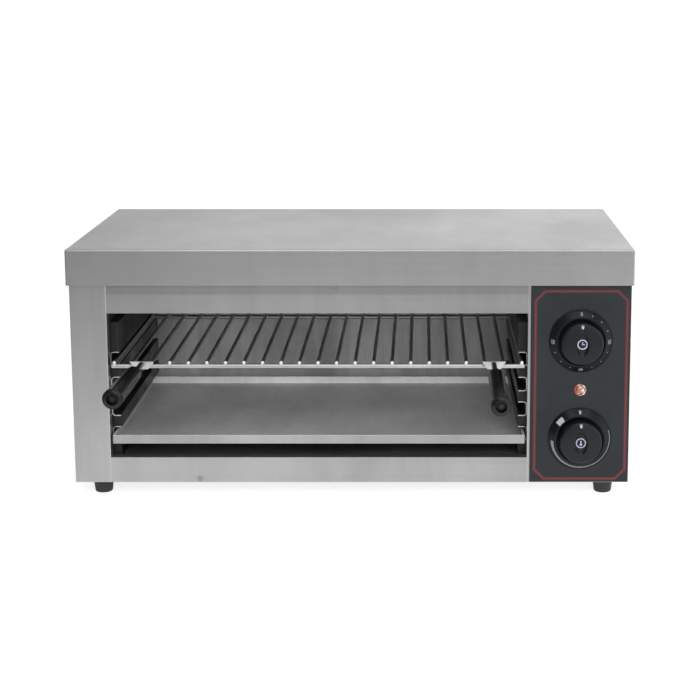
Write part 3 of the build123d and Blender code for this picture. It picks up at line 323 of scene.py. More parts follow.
def lettering(text, height):
    """A number as a flat shape, centred, from Blender's own font."""
    curve = bpy.data.curves.new("lettering", "FONT")
    curve.body = text
    curve.size = height * 1.4
    curve.align_x = "CENTER"
    curve.align_y = "CENTER"
    curve.resolution_u = 4
    holder = bpy.data.objects.new("lettering", curve)
    bpy.context.scene.collection.objects.link(holder)
    bpy.context.view_layer.update()
    mesh = holder.evaluated_get(bpy.context.evaluated_depsgraph_get()).to_mesh()
    mesh.calc_loop_triangles()
    points = np.empty(len(mesh.vertices) * 3)
    mesh.vertices.foreach_get("co", points)
    points = points.reshape(-1, 3)[:, :2]
    triangles = np.empty(len(mesh.loop_triangles) * 3, int)
    mesh.loop_triangles.foreach_get("vertices", triangles)
    triangles = triangles.reshape(-1, 3)
    bpy.data.objects.remove(holder)
    bpy.data.curves.remove(curve)
    points -= (points.max(0) + points.min(0)) / 2
    return points, [triangles]


def piece(name, surface, material, body, sharp=40.0):
    """Puts a surface into the scene as one object that rides on a body."""
    points, faces = surface
    mesh = bpy.data.meshes.new(name)
    mesh.from_pydata(points.tolist(), [], polygons_of(faces))
    mesh.validate()
    mesh.polygons.foreach_set("use_smooth", np.ones(len(mesh.polygons), bool))
    mesh.set_sharp_from_angle(angle=radians(sharp))
    mesh.materials.append(material)
    made = bpy.data.objects.new(name, mesh)
    bpy.context.scene.collection.objects.link(made)
    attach(made, body)
    return made


def paint(material, *nodes):
    """Gives construction nodes their finish."""
    for name in nodes:
        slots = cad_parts[name].data.materials
        slots.clear()
        slots.append(material)


def middle(node):
    low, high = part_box(node)
    return (low + high) / 2


# ---- shader groups and materials ----
class Graph:
    """Shorthand for a node tree: add() makes a node with its inputs set or linked."""

    def __init__(self, tree):
        self.tree = tree

    def add(self, kind, inputs=None, **settings):
        node = self.tree.nodes.new(kind)
        for key, value in settings.items():
            setattr(node, key, value)
        for key, value in (inputs or {}).items():
            if isinstance(value, bpy.types.NodeSocket):
                self.tree.links.new(value, node.inputs[key])
            else:
                node.inputs[key].default_value = value
        return node

    def math(self, operation, a, b=0.0, c=0.0, clamp=False):
        return self.add("ShaderNodeMath", {0: a, 1: b, 2: c}, operation=operation, use_clamp=clamp).outputs[0]

    def mix(self, factor, a, b, blend="MIX"):
        node = self.add("ShaderNodeMix", {0: factor, 6: a, 7: b}, data_type="RGBA", blend_type=blend,
                        clamp_factor=False)
        return node.outputs[2]

    def scaled(self, vector, scale):
        return self.add("ShaderNodeMapping", {"Vector": vector, "Scale": scale}).outputs[0]

    def noise(self, vector, scale, detail=2.0, roughness=0.5):
        made = self.add("ShaderNodeTexNoise", {"Vector": vector, "Scale": scale, "Detail": detail,
                                               "Roughness": roughness})
        return made.outputs["Fac"]

    def ranged(self, value, low, high, to_low, to_high):
        return self.add("ShaderNodeMapRange", {0: value, 1: low, 2: high, 3: to_low, 4: to_high}).outputs[0]


def group(name, inputs, outputs, fill):
    """A shader node group, built once: inputs and outputs are (kind, name, default)."""
    found = bpy.data.node_groups.get(name)
    if found:
        return found
    tree = bpy.data.node_groups.new(name, "ShaderNodeTree")
    for direction, sockets in (("INPUT", inputs), ("OUTPUT", outputs)):
        for kind, label, default in sockets:
            made = tree.interface.new_socket(name=label, in_out=direction, socket_type="NodeSocket" + kind)
            if default is not None:
                made.default_value = default
    graph = Graph(tree)
    start = tree.nodes.new("NodeGroupInput")
    end = tree.nodes.new("NodeGroupOutput")
    for label, socket in fill(graph, start.outputs).items():
        tree.links.new(socket, end.inputs[label])
    return tree


def brushed_grain():
    """Fine scratches and their broader bands. The vector comes already stretched along the grain."""
    def fill(graph, given):
        fine = graph.noise(given["Vector"], 1.0, 3.0, 0.65)
        band = graph.noise(given["Vector"], 0.11, 2.0)
        both = graph.add("ShaderNodeMix", {0: given["Bands"], 2: fine, 3: band}).outputs[0]
        return {"Mask": graph.ranged(both, 0.25, 0.75, 0.0, 1.0), "Height": fine}
    return group("Brushed grain", [("Vector", "Vector", None), ("Float", "Bands", 0.4)],
                 [("Float", "Mask", None), ("Float", "Height", None)], fill)


def handling_marks():
    """Wiped and handled places: slow clouds with softer, smaller clouds in them."""
    def fill(graph, given):
        slow = graph.noise(given["Vector"], given["Scale"], 2.0, 0.45)
        small = graph.noise(given["Vector"], graph.math("MULTIPLY", given["Scale"], 6.0), 4.0, 0.6)
        both = graph.math("MULTIPLY_ADD", small, 0.3, graph.math("MULTIPLY", slow, 0.7))
        return {"Mask": graph.ranged(both, 0.36, 0.64, 0.0, 1.0)}
    return group("Handling marks", [("Vector", "Vector", None), ("Float", "Scale", 5.0)],
                 [("Float", "Mask", None)], fill)


def edge_rounding():
    """Rounded normal at edges, and a mask of where it leaves the true face."""
    def fill(graph, given):
        rounded = graph.add("ShaderNodeBevel", {"Radius": given["Radius"]}, samples=4).outputs[0]
        flat = graph.add("ShaderNodeNewGeometry").outputs["True Normal"]
        match = graph.add("ShaderNodeVectorMath", {0: rounded, 1: flat},
                          operation="DOT_PRODUCT").outputs["Value"]
        return {"Normal": rounded, "Mask": graph.ranged(match, 0.98, 0.80, 0.0, 1.0)}
    return group("Edge rounding", [("Float", "Radius", 0.0007)],
                 [("Vector", "Normal", None), ("Float", "Mask", None)], fill)


def moulded_grain():
    """The fine spark-eroded texture of moulded plastic, with scattered lint."""
    def fill(graph, given):
        fine = graph.noise(given["Vector"], given["Scale"], 2.0, 0.6)
        cells = graph.add("ShaderNodeTexVoronoi", {"Vector": given["Vector"], "Scale": 420.0})
        lint = cells.outputs["Distance"]
        return {"Height": fine, "Lint": graph.ranged(lint, 0.10, 0.04, 0.0, 1.0)}
    return group("Moulded grain", [("Vector", "Vector", None), ("Float", "Scale", 2600.0)],
                 [("Float", "Height", None), ("Float", "Lint", None)], fill)


def scaled_colour(base, factor):
    """A colour multiplied by a factor, at most white, with full cover."""
    return tuple(min(channel * factor, 1.0) for channel in base) + (1.0,)


class Finish:
    """A material with one Principled shader; the graph feeds its sockets."""

    def __init__(self, name, base=(0.5, 0.5, 0.5), **sockets):
        self.material = bpy.data.materials.new(name)
        self.material.use_nodes = True
        self.graph = Graph(self.material.node_tree)
        self.shader = self.material.node_tree.nodes["Principled BSDF"]
        self.base = (*base, 1.0)
        self.set("Base Color", self.base)
        for key, value in sockets.items():
            self.set(key.replace("_", " "), value)
        self.place = self.graph.add(COORDS).outputs["Object"]

    def set(self, key, value):
        if isinstance(value, bpy.types.NodeSocket):
            self.graph.tree.links.new(value, self.shader.inputs[key])
        else:
            self.shader.inputs[key].default_value = value

    def group(self, tree, **inputs):
        node = self.graph.add("ShaderNodeGroup", None, node_tree=tree)
        for key, value in inputs.items():
            key = key.replace("_", " ")
            if isinstance(value, bpy.types.NodeSocket):
                self.graph.tree.links.new(value, node.inputs[key])
            else:
                node.inputs[key].default_value = value
        return node.outputs

    def tint(self, mask, low, high):
        """Base colour between two shades of the base by a mask."""
        return self.graph.mix(mask, scaled_colour(self.base[:3], low), scaled_colour(self.base[:3], high))

    def bump(self, height, strength, distance, normal=None):
        inputs = {"Height": height, "Strength": strength, "Distance": distance}
        if normal is not None:
            inputs["Normal"] = normal
        self.set("Normal", self.graph.add("ShaderNodeBump", inputs).outputs[0])


GRAIN_ALONG = {"X": (9.0, 1400.0, 1400.0), "Y": (1400.0, 9.0, 1400.0), "Z": (1400.0, 1400.0, 9.0)}


def brushed_sheet(name, base, roughness, along="X", contrast=0.07, radius=0.7 * MM, marks=4.0,
                  edge_light=1.1, metallic=0.92, wiped=0.77, overhang_shade_height=None, forward_light=None):
    """Brushed stainless sheet: grain along one axis, wiped clouds and softened edges with a painted
    highlight, painted shade where its factor is below 1. A strip under an overhang's height is darkened as
    its painted shadow; faces that look forwards get painted shade at the front and painted light at the rear."""
    look = Finish(name, base, Metallic=metallic)
    grain = look.group(brushed_grain(), Vector=look.graph.scaled(look.place, GRAIN_ALONG[along]))
    drawn = look.graph.scaled(look.place, (1.7, 1.0, 0.45))
    clouds = look.group(handling_marks(), Vector=drawn, Scale=marks)
    edge = look.group(edge_rounding(), Radius=radius)
    plain = look.tint(grain["Mask"], 1 - contrast, 1 + contrast)
    handled = look.tint(grain["Mask"], wiped - contrast, wiped + contrast)
    body = look.graph.mix(clouds["Mask"], plain, handled)
    # Painted highlight along folds and edges: the base scaled by the edge factor, painted shade where it is
    # below 1.
    body = look.graph.mix(edge["Mask"], body, scaled_colour(base, edge_light))
    # Painted shadow of an overhang: a strip about 10 mm deep under the given height is darkened to four
    # fifths.
    if overhang_shade_height:
        height = look.graph.add("ShaderNodeSeparateXYZ", {0: look.place}).outputs["Z"]
        dull = look.graph.ranged(height, overhang_shade_height - 12.5 * MM, overhang_shade_height - 10 * MM, 0.0, 1.0)
        body = look.graph.mix(dull, body, (0.80, 0.80, 0.80, 1), "MULTIPLY")
    # Painted light by facing: faces that look forwards are darkened as painted shade towards the front of the
    # tray and lightened as painted light towards its rear.
    if forward_light:
        facing = look.graph.add("ShaderNodeNewGeometry").outputs["True Normal"]
        upright = look.graph.add("ShaderNodeSeparateXYZ", {0: facing}).outputs["Y"]
        depth = look.graph.add("ShaderNodeSeparateXYZ", {0: look.place}).outputs["Y"]
        shade = look.graph.ranged(depth, 0.0, 0.1, *forward_light)
        faced = look.graph.ranged(upright, -0.5, -0.9, 0.0, 1.0)
        level = look.graph.math("MULTIPLY_ADD", faced, look.graph.math("SUBTRACT", shade, 1.0), 1.0)
        shaded = look.graph.add("ShaderNodeVectorMath", {0: body, "Scale": level}, operation="SCALE")
        body = shaded.outputs[0]
    look.set("Base Color", body)
    spread = look.graph.math("MULTIPLY_ADD", grain["Mask"], 0.05, roughness - 0.05)
    look.set("Roughness", look.graph.math("MULTIPLY_ADD", clouds["Mask"], 0.05, spread))
    look.bump(grain["Height"], 0.25, 0.00006, edge["Normal"])
    return look.material


def cavity_sheet(base):
    """Heat-dulled sheet with upright streaks, in part painted reflections, and slow darker clouds."""
    look = Finish("Cavity sheet", base, Metallic=0.45)
    grain = look.group(brushed_grain(), Vector=look.graph.scaled(look.place, (500.0, 500.0, 6.0)), Bands=0.7)
    clouds = look.group(handling_marks(), Vector=look.graph.scaled(look.place, (1.8, 1.0, 0.6)), Scale=12.0)
    # The bright upright streaks of the grain are in part painted reflections.
    clean, heated = look.tint(grain["Mask"], 0.95, 1.4), look.tint(grain["Mask"], 0.62, 0.92)
    look.set("Base Color", look.graph.mix(clouds["Mask"], clean, heated))
    look.set("Roughness", look.graph.math("MULTIPLY_ADD", clouds["Mask"], 0.12, 0.36))
    look.bump(grain["Height"], 0.3, 0.0001)
    return look.material


def black_enamel(name, base, shine=0.5):
    """Black enamel with dull clouds and slightly worn edges."""
    look = Finish(name, base, Specular_IOR_Level=shine)
    edge = look.group(edge_rounding(), Radius=0.5 * MM)
    grain = look.group(moulded_grain(), Vector=look.place, Scale=700.0)
    clouds = look.group(handling_marks(), Vector=look.place, Scale=14.0)
    worn = look.graph.math("MULTIPLY", edge["Mask"], 0.2)
    look.set("Base Color", look.graph.mix(worn, look.tint(clouds["Mask"], 0.7, 1.6), (0.12, 0.12, 0.12, 1)))
    look.set("Roughness", look.graph.math("MULTIPLY_ADD", clouds["Mask"], 0.2, 0.30))
    look.bump(grain["Height"], 0.2, 0.0001, edge["Normal"])
    return look.material


def plated(name, base, roughness, scale=300.0, radius=0.25 * MM, dark_before=None, cut=None):
    """Plated or drawn metal: fine pitting, slight clouding. It is blackened in front of dark_before;
    cut is a depth and a height, and what lies in front of the one and above the other is bare and
    bright like a fresh cut."""
    look = Finish(name, base, Metallic=1.0)
    clouds = look.group(handling_marks(), Vector=look.place, Scale=scale * 0.1)
    pits = look.graph.noise(look.place, scale * 6, 3.0, 0.6)
    edge = look.group(edge_rounding(), Radius=radius)
    body = look.tint(clouds["Mask"], 0.86, 1.08)
    place = look.graph.add("ShaderNodeSeparateXYZ", {0: look.place}).outputs
    if dark_before:
        ahead = look.graph.math("LESS_THAN", place["Y"], dark_before)
        body = look.graph.mix(ahead, body, (0.05, 0.05, 0.05, 1))
    if cut:
        bare = look.graph.math("MULTIPLY", look.graph.math("LESS_THAN", place["Y"], cut[0]),
                               look.graph.math("GREATER_THAN", place["Z"], cut[1]))
        body = look.graph.mix(bare, body, (0.95, 0.95, 0.95, 1))
    look.set("Base Color", body)
    look.set("Roughness", look.graph.math("MULTIPLY_ADD", clouds["Mask"], 0.12, roughness - 0.05))
    look.bump(pits, 0.15, 0.00003, edge["Normal"])
    return look.material


def moulded(name, base, roughness, grain_scale=2600.0, bump=0.25, shine=0.5, radius=0.3 * MM):
    """Moulded plastic or rubber with its tool texture, a little lint and softened edges."""
    look = Finish(name, base, Specular_IOR_Level=shine)
    grain = look.group(moulded_grain(), Vector=look.place, Scale=grain_scale)
    clouds = look.group(handling_marks(), Vector=look.place, Scale=26.0)
    edge = look.group(edge_rounding(), Radius=radius)
    body = look.tint(clouds["Mask"], 0.85, 1.15)
    lint = look.graph.math("MULTIPLY", grain["Lint"], 0.06)
    body = look.graph.mix(lint, body, (0.35, 0.35, 0.35, 1))
    worn = look.graph.math("MULTIPLY", edge["Mask"], 0.3)
    look.set("Base Color", look.graph.mix(worn, body, look.tint(1.0, 1.0, 2.4)))
    look.set("Roughness", look.graph.math("MULTIPLY_ADD", clouds["Mask"], 0.10, roughness - 0.05))
    look.bump(grain["Height"], bump, 0.00006, edge["Normal"])
    return look.material


def printed(name, base, roughness=0.45):
    """Screen-printed ink: slightly uneven cover over the plate's texture."""
    look = Finish(name, base)
    cover = look.graph.noise(look.place, 1800.0, 3.0, 0.6)
    look.set("Base Color", look.tint(look.graph.ranged(cover, 0.3, 0.7, 0.0, 1.0), 0.86, 1.08))
    look.set("Roughness", look.graph.math("MULTIPLY_ADD", cover, 0.2, roughness - 0.1))
    look.bump(cover, 0.1, 0.00003)
    return look.material


class MelterOperator(Operator):
    """A step that builds or finishes pieces of the melter."""
    bl_options = {"REGISTER", "UNDO"}

    def execute(self, context):
        self.build(context.scene)
        return {"FINISHED"}


class MELTER_OT_shell(MelterOperator):
    """Finish the folded lid, the body's sheets and the cavity"""
    bl_idname = "melter.shell"
    bl_label = "Shell and cavity"

    def build(self, scene):
        steel = scene.melter_steel
        rough, radius = steel.sheet_roughness, steel.fold_radius
        # The lid's folds are painted a little darker than the sheet, as painted shade.
        lid_sheet = brushed_sheet("Lid sheet", steel.sheet, rough, "X", radius=steel.lid_fold,
                                  edge_light=0.7, wiped=0.82)
        paint(lid_sheet, "top_cover")
        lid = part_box("top_cover")[0].z
        # The header's strip under the lid gets the painted shadow of the lid's overhang.
        front = brushed_sheet("Front sheet", steel.sheet, rough, "X", radius=radius, overhang_shade_height=lid)
        paint(front, "header_panel", "sill_panel")
        # The folds and edges of the column and the control plate get a strong painted highlight.
        column = brushed_sheet("Column sheet", steel.sheet, rough, "Z", radius=steel.column_fold,
                               edge_light=1.9, wiped=0.84)
        paint(column, "left_side_panel", "control_plate")
        upright = brushed_sheet("Side sheet", steel.sheet, rough, "Z", radius=radius)
        paint(upright, "right_side_panel", "back_panel")
        mill = brushed_sheet("Mill sheet", (0.36, 0.36, 0.36), 0.45, "X", 0.12, radius, 9.0)
        paint(mill, "base_plate", "partition_wall", "cavity_ceiling")
        paint(cavity_sheet(steel.cavity), "cavity_back_wall")
        paint(black_enamel("Black enamel", (0.048, 0.048, 0.048)), "cavity_left_wall", "cavity_floor")
        paint(black_enamel("Guide enamel", (0.009, 0.009, 0.009), 0.3), "rack_guide_left", "rack_guide_right")
        # The tray's edges get a painted highlight, and its forward faces painted shade at the front and
        # painted light at the rear.
        tray = brushed_sheet("Tray sheet", steel.tray, 0.45, "Y", 0.06, 1.0 * MM, 7.0, 1.9, 0.3,
                             forward_light=(0.56, 1.6))
        paint(tray, "drip_tray")
        self.slot_edges(scene.melter_guide)

    def slot_edges(self, guide):
        """The guides' bare front edges: a thin round edge along each slot's outline, which runs
        from the rib back over a rounded corner, down, and out again over the second corner."""
        bare = plated("Bare edge", (0.85, 0.85, 0.85), 0.4, 900.0)
        turn = np.linspace(0, pi / 2, 9)
        for side, node in ((1, "rack_guide_left"), (-1, "rack_guide_right")):
            low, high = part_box(node)
            rib = high.x if side > 0 else low.x
            back = low.x if side > 0 else high.x
            middle_x = back + side * (guide.edge / 2 + guide.corner)
            bars = []
            for level in range(guide.count):
                floor = guide.lowest + level * guide.pitch - guide.edge / 2
                roof = floor + guide.height + guide.edge
                across = np.concatenate([[rib], middle_x - side * guide.corner * np.sin(turn),
                                         middle_x - side * guide.corner * np.cos(turn), [rib]])
                up = np.concatenate([[roof], roof - guide.corner * (1 - np.cos(turn)),
                                     floor + guide.corner * (1 - np.sin(turn)), [floor]])
                line = np.stack([across, np.full_like(up, low.y), up], -1)
                bars.append(tube(line, guide.edge / 2, 10))
            piece(node + "_edges", joined(bars), bare, "housing")


class MELTER_OT_fixings(MelterOperator):
    """Finish rivets, screws, nuts, feet, the gland and the wiring"""
    bl_idname = "melter.fixings"
    bl_label = "Fixings, feet and wiring"

    def build(self, scene):
        zinc = plated("Zinc plate", (0.55, 0.55, 0.54), 0.34)
        paint(plated("Rivet steel", (0.34, 0.34, 0.34), 0.42), "front_rivets")
        paint(zinc, "control_screws", "foot_screws", "foot_nuts", "back_screws", "lid_screws",
              "timer_shaft", "heat_shaft", "pilot_lamp_clip")
        paint(plated("Brass", (0.72, 0.52, 0.24), 0.38), "element_links", "earth_stud")
        paint(moulded("Foot rubber", (0.018, 0.018, 0.018), 0.62, 1500.0, 0.35), "rubber_feet")
        paint(moulded("Gland nylon", (0.02, 0.02, 0.021), 0.48), "cable_gland", "gland_locknut")
        paint(moulded("Control housing", (0.06, 0.055, 0.05), 0.5),
              "timer_body", "heat_regulator_body", "pilot_lamp_body")
        paint(moulded("Terminal moulding", (0.72, 0.71, 0.66), 0.5), "terminal_block")
        paint(moulded("Ceramic", (0.78, 0.76, 0.70), 0.6, 1200.0), "element_bushes")
        paint(moulded("Live sleeve", (0.16, 0.055, 0.03), 0.5, 900.0), "live_leads")
        paint(moulded("Neutral sleeve", (0.03, 0.09, 0.32), 0.5, 900.0), "neutral_lead")
        paint(moulded("Earth sleeve", (0.16, 0.30, 0.05), 0.5, 900.0), "earth_lead")
        paint(plated("Element sheath", (0.13, 0.12, 0.115), 0.5),
              "heating_element_front", "heating_element_middle", "heating_element_rear", "element_hangers")


class MELTER_OT_rack(MelterOperator):
    """Build the welded wire rack and finish its brackets"""
    bl_idname = "melter.rack"
    bl_label = "Wire rack"

    def build(self, scene):
        rack = scene.melter_rack
        low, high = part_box("wire_rack")
        wire, cross = rack.frame_wire, rack.cross_wire
        frame_z = low.z + wire / 2
        cross_z = high.z - cross / 2
        front, rear = low.y + wire / 2, high.y - wire / 2
        left, right = low.x + rack.side_inset, high.x - rack.side_inset
        # frame wires: straight bars; only the cross wires below bow, by a few tenths of a millimetre
        share_along = np.linspace(0, 1, 25)[:, None]
        bars = []
        for y in (front, rear):
            ends = np.array([low.x, y, frame_z]), np.array([high.x, y, frame_z])
            bars.append(tube(ends[0] + (ends[1] - ends[0]) * share_along, wire / 2, 24, 0.5 * MM))
        for x in (left, right):
            ends = np.array([x, front, frame_z]), np.array([x, rear, frame_z])
            bars.append(tube(ends[0] + (ends[1] - ends[0]) * share_along, rack.side_wire / 2, 20))
        wobble = np.random.default_rng(7)
        bend = 0.12 * MM
        welds = []
        for x in np.linspace(left, right, rack.gaps + 1):
            bow, lean = wobble.normal(0, bend, 2)
            line = np.array([x, low.y, cross_z]) + share_along * np.array([0, high.y - low.y, 0])
            line[:, 0] += bow * np.sin(pi * share_along[:, 0]) + lean * (share_along[:, 0] - 0.5)
            bars.append(tube(line, cross / 2, 20, 0.45 * MM))
            for y in (front, rear):
                welds.append(ball((x, y, (frame_z + wire / 2 + cross_z - cross / 2) / 2),
                                  (cross * 0.62, wire * 0.48, 0.75 * MM)))
        chrome = plated("Plated wire", (0.52, 0.52, 0.52), 0.33,
                        cut=(low.y + 0.6 * MM, frame_z + wire * 0.3))
        made = piece("rack_wires", joined(bars + welds), chrome, "rack")
        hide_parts("wire_rack")
        paint(plated("Bracket plate", (0.70, 0.70, 0.70), 0.30),
              "handle_bracket_left", "handle_bracket_right")


class MELTER_OT_handles(MelterOperator):
    """Finish the stems and grips of the rack's handles"""
    bl_idname = "melter.handles"
    bl_label = "Handles"

    def build(self, scene):
        grip_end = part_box("handle_grip_left")[0].y
        stem = plated("Stem steel", (0.20, 0.20, 0.20), 0.32, dark_before=grip_end + 20 * MM)
        paint(stem, "handle_stem_left", "handle_stem_right")
        grip = moulded("Grip moulding", (0.0035, 0.0035, 0.0035), 0.20, 900.0, 0.08, 0.34)
        paint(grip, "handle_grip_left", "handle_grip_right")
        paint(plated("Blackened steel", (0.03, 0.03, 0.03), 0.4), "handle_nuts")


class Dial:
    """Where a dial's ring, cap and marks lie, read from its construction nodes."""

    def __init__(self, scene, name):
        self.size = scene.melter_dial
        ring_low, ring_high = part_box(name + "_dial_ring")
        self.x, self.z = middle(name + "_dial_ring").x, middle(name + "_dial_ring").z
        self.plate = ring_high.y
        self.rim = (ring_high.x - ring_low.x) / 2
        self.height = ring_high.y - ring_low.y
        knob_low, knob_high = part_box(name + "_knob")
        self.cap_base = (knob_high.x - knob_low.x) / 2
        self.face, self.back = knob_low.y, knob_high.y
        self.face_radius = self.cap_base - CAP_DRAFT
        self.land = self.cap_base + self.size.ring_gap + self.size.cone_land

    def on_cone(self, angle, radius, lift):
        """A point of the ring's slope: angle clockwise from the top, radius from the axis, and
        lift square to the slope."""
        slope = (self.height - self.size.cone_edge) / (self.rim - self.land)
        reach = self.size.cone_edge + (self.rim - radius) * slope
        across = 1 / np.hypot(1, slope)
        out = radius + lift * slope * across
        reach = reach + lift * across
        return np.stack([self.x + out * np.sin(angle), self.plate - reach, self.z + out * np.cos(angle)], -1)

    def mark_at(self, degrees):
        """Lays a flat shape, u clockwise and v outwards, at an angle of the ring."""
        radius = self.size.mark_radius

        def place(u, v, lift):
            return self.on_cone(np.radians(degrees) + u / radius, radius + v, lift)
        return place

    def cap_reach(self, u, v):
        """Depth of the cap's face behind its foremost plane: a crown that falls with the square of
        the radius, a quarter round at the edge, and in the middle a dish that sinks smoothly inside
        an oval."""
        rounding = self.size.cap_round
        beyond = np.clip(np.hypot(u, v) - (self.face_radius - rounding), 0, rounding)
        edge = rounding - np.sqrt(rounding ** 2 - beyond ** 2)
        edge = edge + self.size.cap_crown * (u * u + v * v) / self.face_radius ** 2
        oval = 1 - (2 * u / self.size.dish_width) ** 2 - (2 * v / self.size.dish_height) ** 2
        soft = np.clip(oval / 0.5, 0, 1)
        return edge + self.size.dish_depth * soft * soft * (3 - 2 * soft)

    def on_cap(self, u, v, lift):
        """A point of the cap's face, u to the right and v up from its middle."""
        reach = self.cap_reach(u, v)
        return np.stack([self.x + u, self.face + reach - lift, self.z + v], -1)

    def cap(self):
        """The knob's cap: circles over its face, sunk by the dish and the rounding, then down its
        side to the base and back inside a wall's thickness."""
        rounding = self.size.cap_round
        flat = np.linspace(0.02, 1, 34) * (self.face_radius - rounding)
        turn = np.linspace(0, pi / 2, 9)[1:]
        radius = np.concatenate([flat, self.face_radius - rounding + rounding * np.sin(turn)])
        angle = np.linspace(0, 2 * pi, 120, endpoint=False)
        u, v = radius[:, None] * np.sin(angle), radius[:, None] * np.cos(angle)
        face = self.on_cap(u, v, 0.0)
        side_radius = np.array([self.face_radius + CAP_DRAFT / 2, self.cap_base, self.cap_base - 0.5 * MM,
                                self.cap_base - 2.2 * MM, self.cap_base - 2.4 * MM])
        side_depth = np.array([(self.face + self.back) / 2, self.back - 0.3 * MM, self.back,
                               self.back, self.face + 4.5 * MM])
        side = np.stack([self.x + side_radius[:, None] * np.sin(angle),
                         np.broadcast_to(side_depth[:, None], (5, 120)),
                         self.z + side_radius[:, None] * np.cos(angle)], -1)
        return skin(np.concatenate([face, side]))


class MELTER_OT_dials(MelterOperator):
    """Build the knob caps and print the marks of both dials"""
    bl_idname = "melter.dials"
    bl_label = "Dials and knobs"

    def timer_marks(self, dial):
        """A number at each quarter and a dot at each step between, from nought to three quarters."""
        marks = []
        for number, degrees in (("0", 0), ("20", 90), ("40", 180), ("60", 270)):
            points, faces = lettering(number, dial.size.digit_height)
            marks.append(slab(points, faces, dial.mark_at(degrees)))
        for step in range(1, 12):
            if step % 4:
                marks.append(slab(*flat_disc((0, 0), 0.55 * MM), dial.mark_at(step * 22.5)))
        return marks

    def heat_marks(self, dial):
        """Off mark at the top and full mark before it; the sickle that thins as heat falls is built apart."""
        marks = [slab(*flat_strip([(0, -1.6 * MM), (0, 1.6 * MM)], 2.2 * MM), dial.mark_at(0))]
        block = flat_strip(np.stack([np.linspace(-4.4, 4.4, 9) * MM, np.full(9, -1.0 * MM)], -1), 4.8 * MM)
        marks.append(slab(*block, dial.mark_at(-46)))
        return marks

    def sickle(self, dial):
        """An arc on the slope that runs from the left round the foot to the right, thins on its
        way and drifts outwards."""
        angle = np.radians(np.linspace(-92, -288, 80))
        line = np.stack([angle, dial.size.mark_radius + np.linspace(-0.4, 2.2, 80) * MM], -1)
        half = np.stack([np.zeros(80), np.linspace(1.3, 0.35, 80) * MM], -1)
        i = np.arange(79)
        faces = [np.stack([i + 80, i + 81, i + 1, i], -1)]
        return slab(np.concatenate([line + half, line - half]), faces, dial.on_cone)

    def clock_icon(self):
        """A ring with two hands."""
        ring = flat_strip(arc((0, 0), 4.9 * MM, 0, 350, 36), 1.3 * MM, loop=True)
        return [ring, flat_strip([(0, 2.9 * MM), (0, -0.4 * MM)], 1.1 * MM),
                flat_strip([(-0.4 * MM, 0), (2.6 * MM, 0)], 1.1 * MM)]

    def heat_icon(self):
        """A ring with a bulb thermometer in it."""
        ring = flat_strip(arc((0, 0), 4.9 * MM, 0, 350, 36), 1.2 * MM, loop=True)
        return [ring, flat_strip([(0, 2.8 * MM), (0, -1.0 * MM)], 1.2 * MM),
                flat_disc((0, -1.5 * MM), 1.4 * MM)]

    def build(self, scene):
        ink = printed("Ring ink", scene.melter_dial.ink)
        cap_ink = printed("Cap ink", scene.melter_dial.cap_ink)
        faint = printed("Faint dial ink", scene.melter_dial.faint_ink)
        ring_finish = moulded("Dial ring moulding", (0.0028, 0.0035, 0.0045), 0.36, 2200.0, 0.15, 0.26)
        paint(ring_finish, "timer_dial_ring", "heat_dial_ring")
        cap_finish = moulded("Knob moulding", (0.0040, 0.0046, 0.0056), 0.34, 2600.0, 0.2, 0.30)
        steps = (("timer", self.timer_marks, self.clock_icon), ("heat", self.heat_marks, self.heat_icon))
        for name, marks, icon in steps:
            dial = Dial(scene, name)
            piece(name + "_scale", joined(marks(dial)), ink, "housing")
            cap = piece(name + "_cap", dial.cap(), cap_finish, name + "_dial", 60.0)
            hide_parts(name + "_knob")
            pointer = flat_strip([(0, 17.2 * MM), (0, 18.4 * MM), (0, 19.8 * MM), (0, 21.4 * MM)],
                                 np.array([1.6, 2.4, 3.2, 2.8]) * MM)
            shapes = [slab(*shape, dial.on_cap) for shape in icon() + [pointer]]
            piece(name + "_cap_marks", joined(shapes), cap_ink, name + "_dial")
        piece("heat_sickle", self.sickle(dial), faint, "housing")


class MELTER_OT_fascia(MelterOperator):
    """Finish the control plate and print its border line"""
    bl_idname = "melter.fascia"
    bl_label = "Control plate"

    def build(self, scene):
        sizes = scene.melter_print
        film = moulded("Plate film", (0.013, 0.0155, 0.018), 0.50, 3200.0, 0.12, 0.28)
        paint(film, "control_fascia")
        low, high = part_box("control_fascia")
        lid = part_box("top_cover")[0].z
        left, right = low.x + sizes.line_left, high.x - sizes.line_right
        bottom, top, cut = low.z + sizes.line_bottom, lid - sizes.line_top, sizes.corner
        line = np.array([(left + cut, bottom), (right - cut, bottom), (right, bottom + cut),
                         (right, top - cut), (right - cut, top), (left + cut, top),
                         (left, top - cut), (left, bottom + cut)])

        def on_plate(u, v, lift):
            return np.stack([u, np.full_like(u, low.y - lift), v], -1)
        border = slab(*flat_strip(line, sizes.line_width, loop=True), on_plate, MARK_LIFT / 2)
        piece("border_line", border, printed("Border ink", sizes.line), "housing")
        inner = slab(*flat_strip(line, sizes.line_width * 0.34, loop=True), on_plate)
        inner_ink = printed("Border ink, middle", sizes.line_middle)
        piece("border_line_middle", inner, inner_ink, "housing")


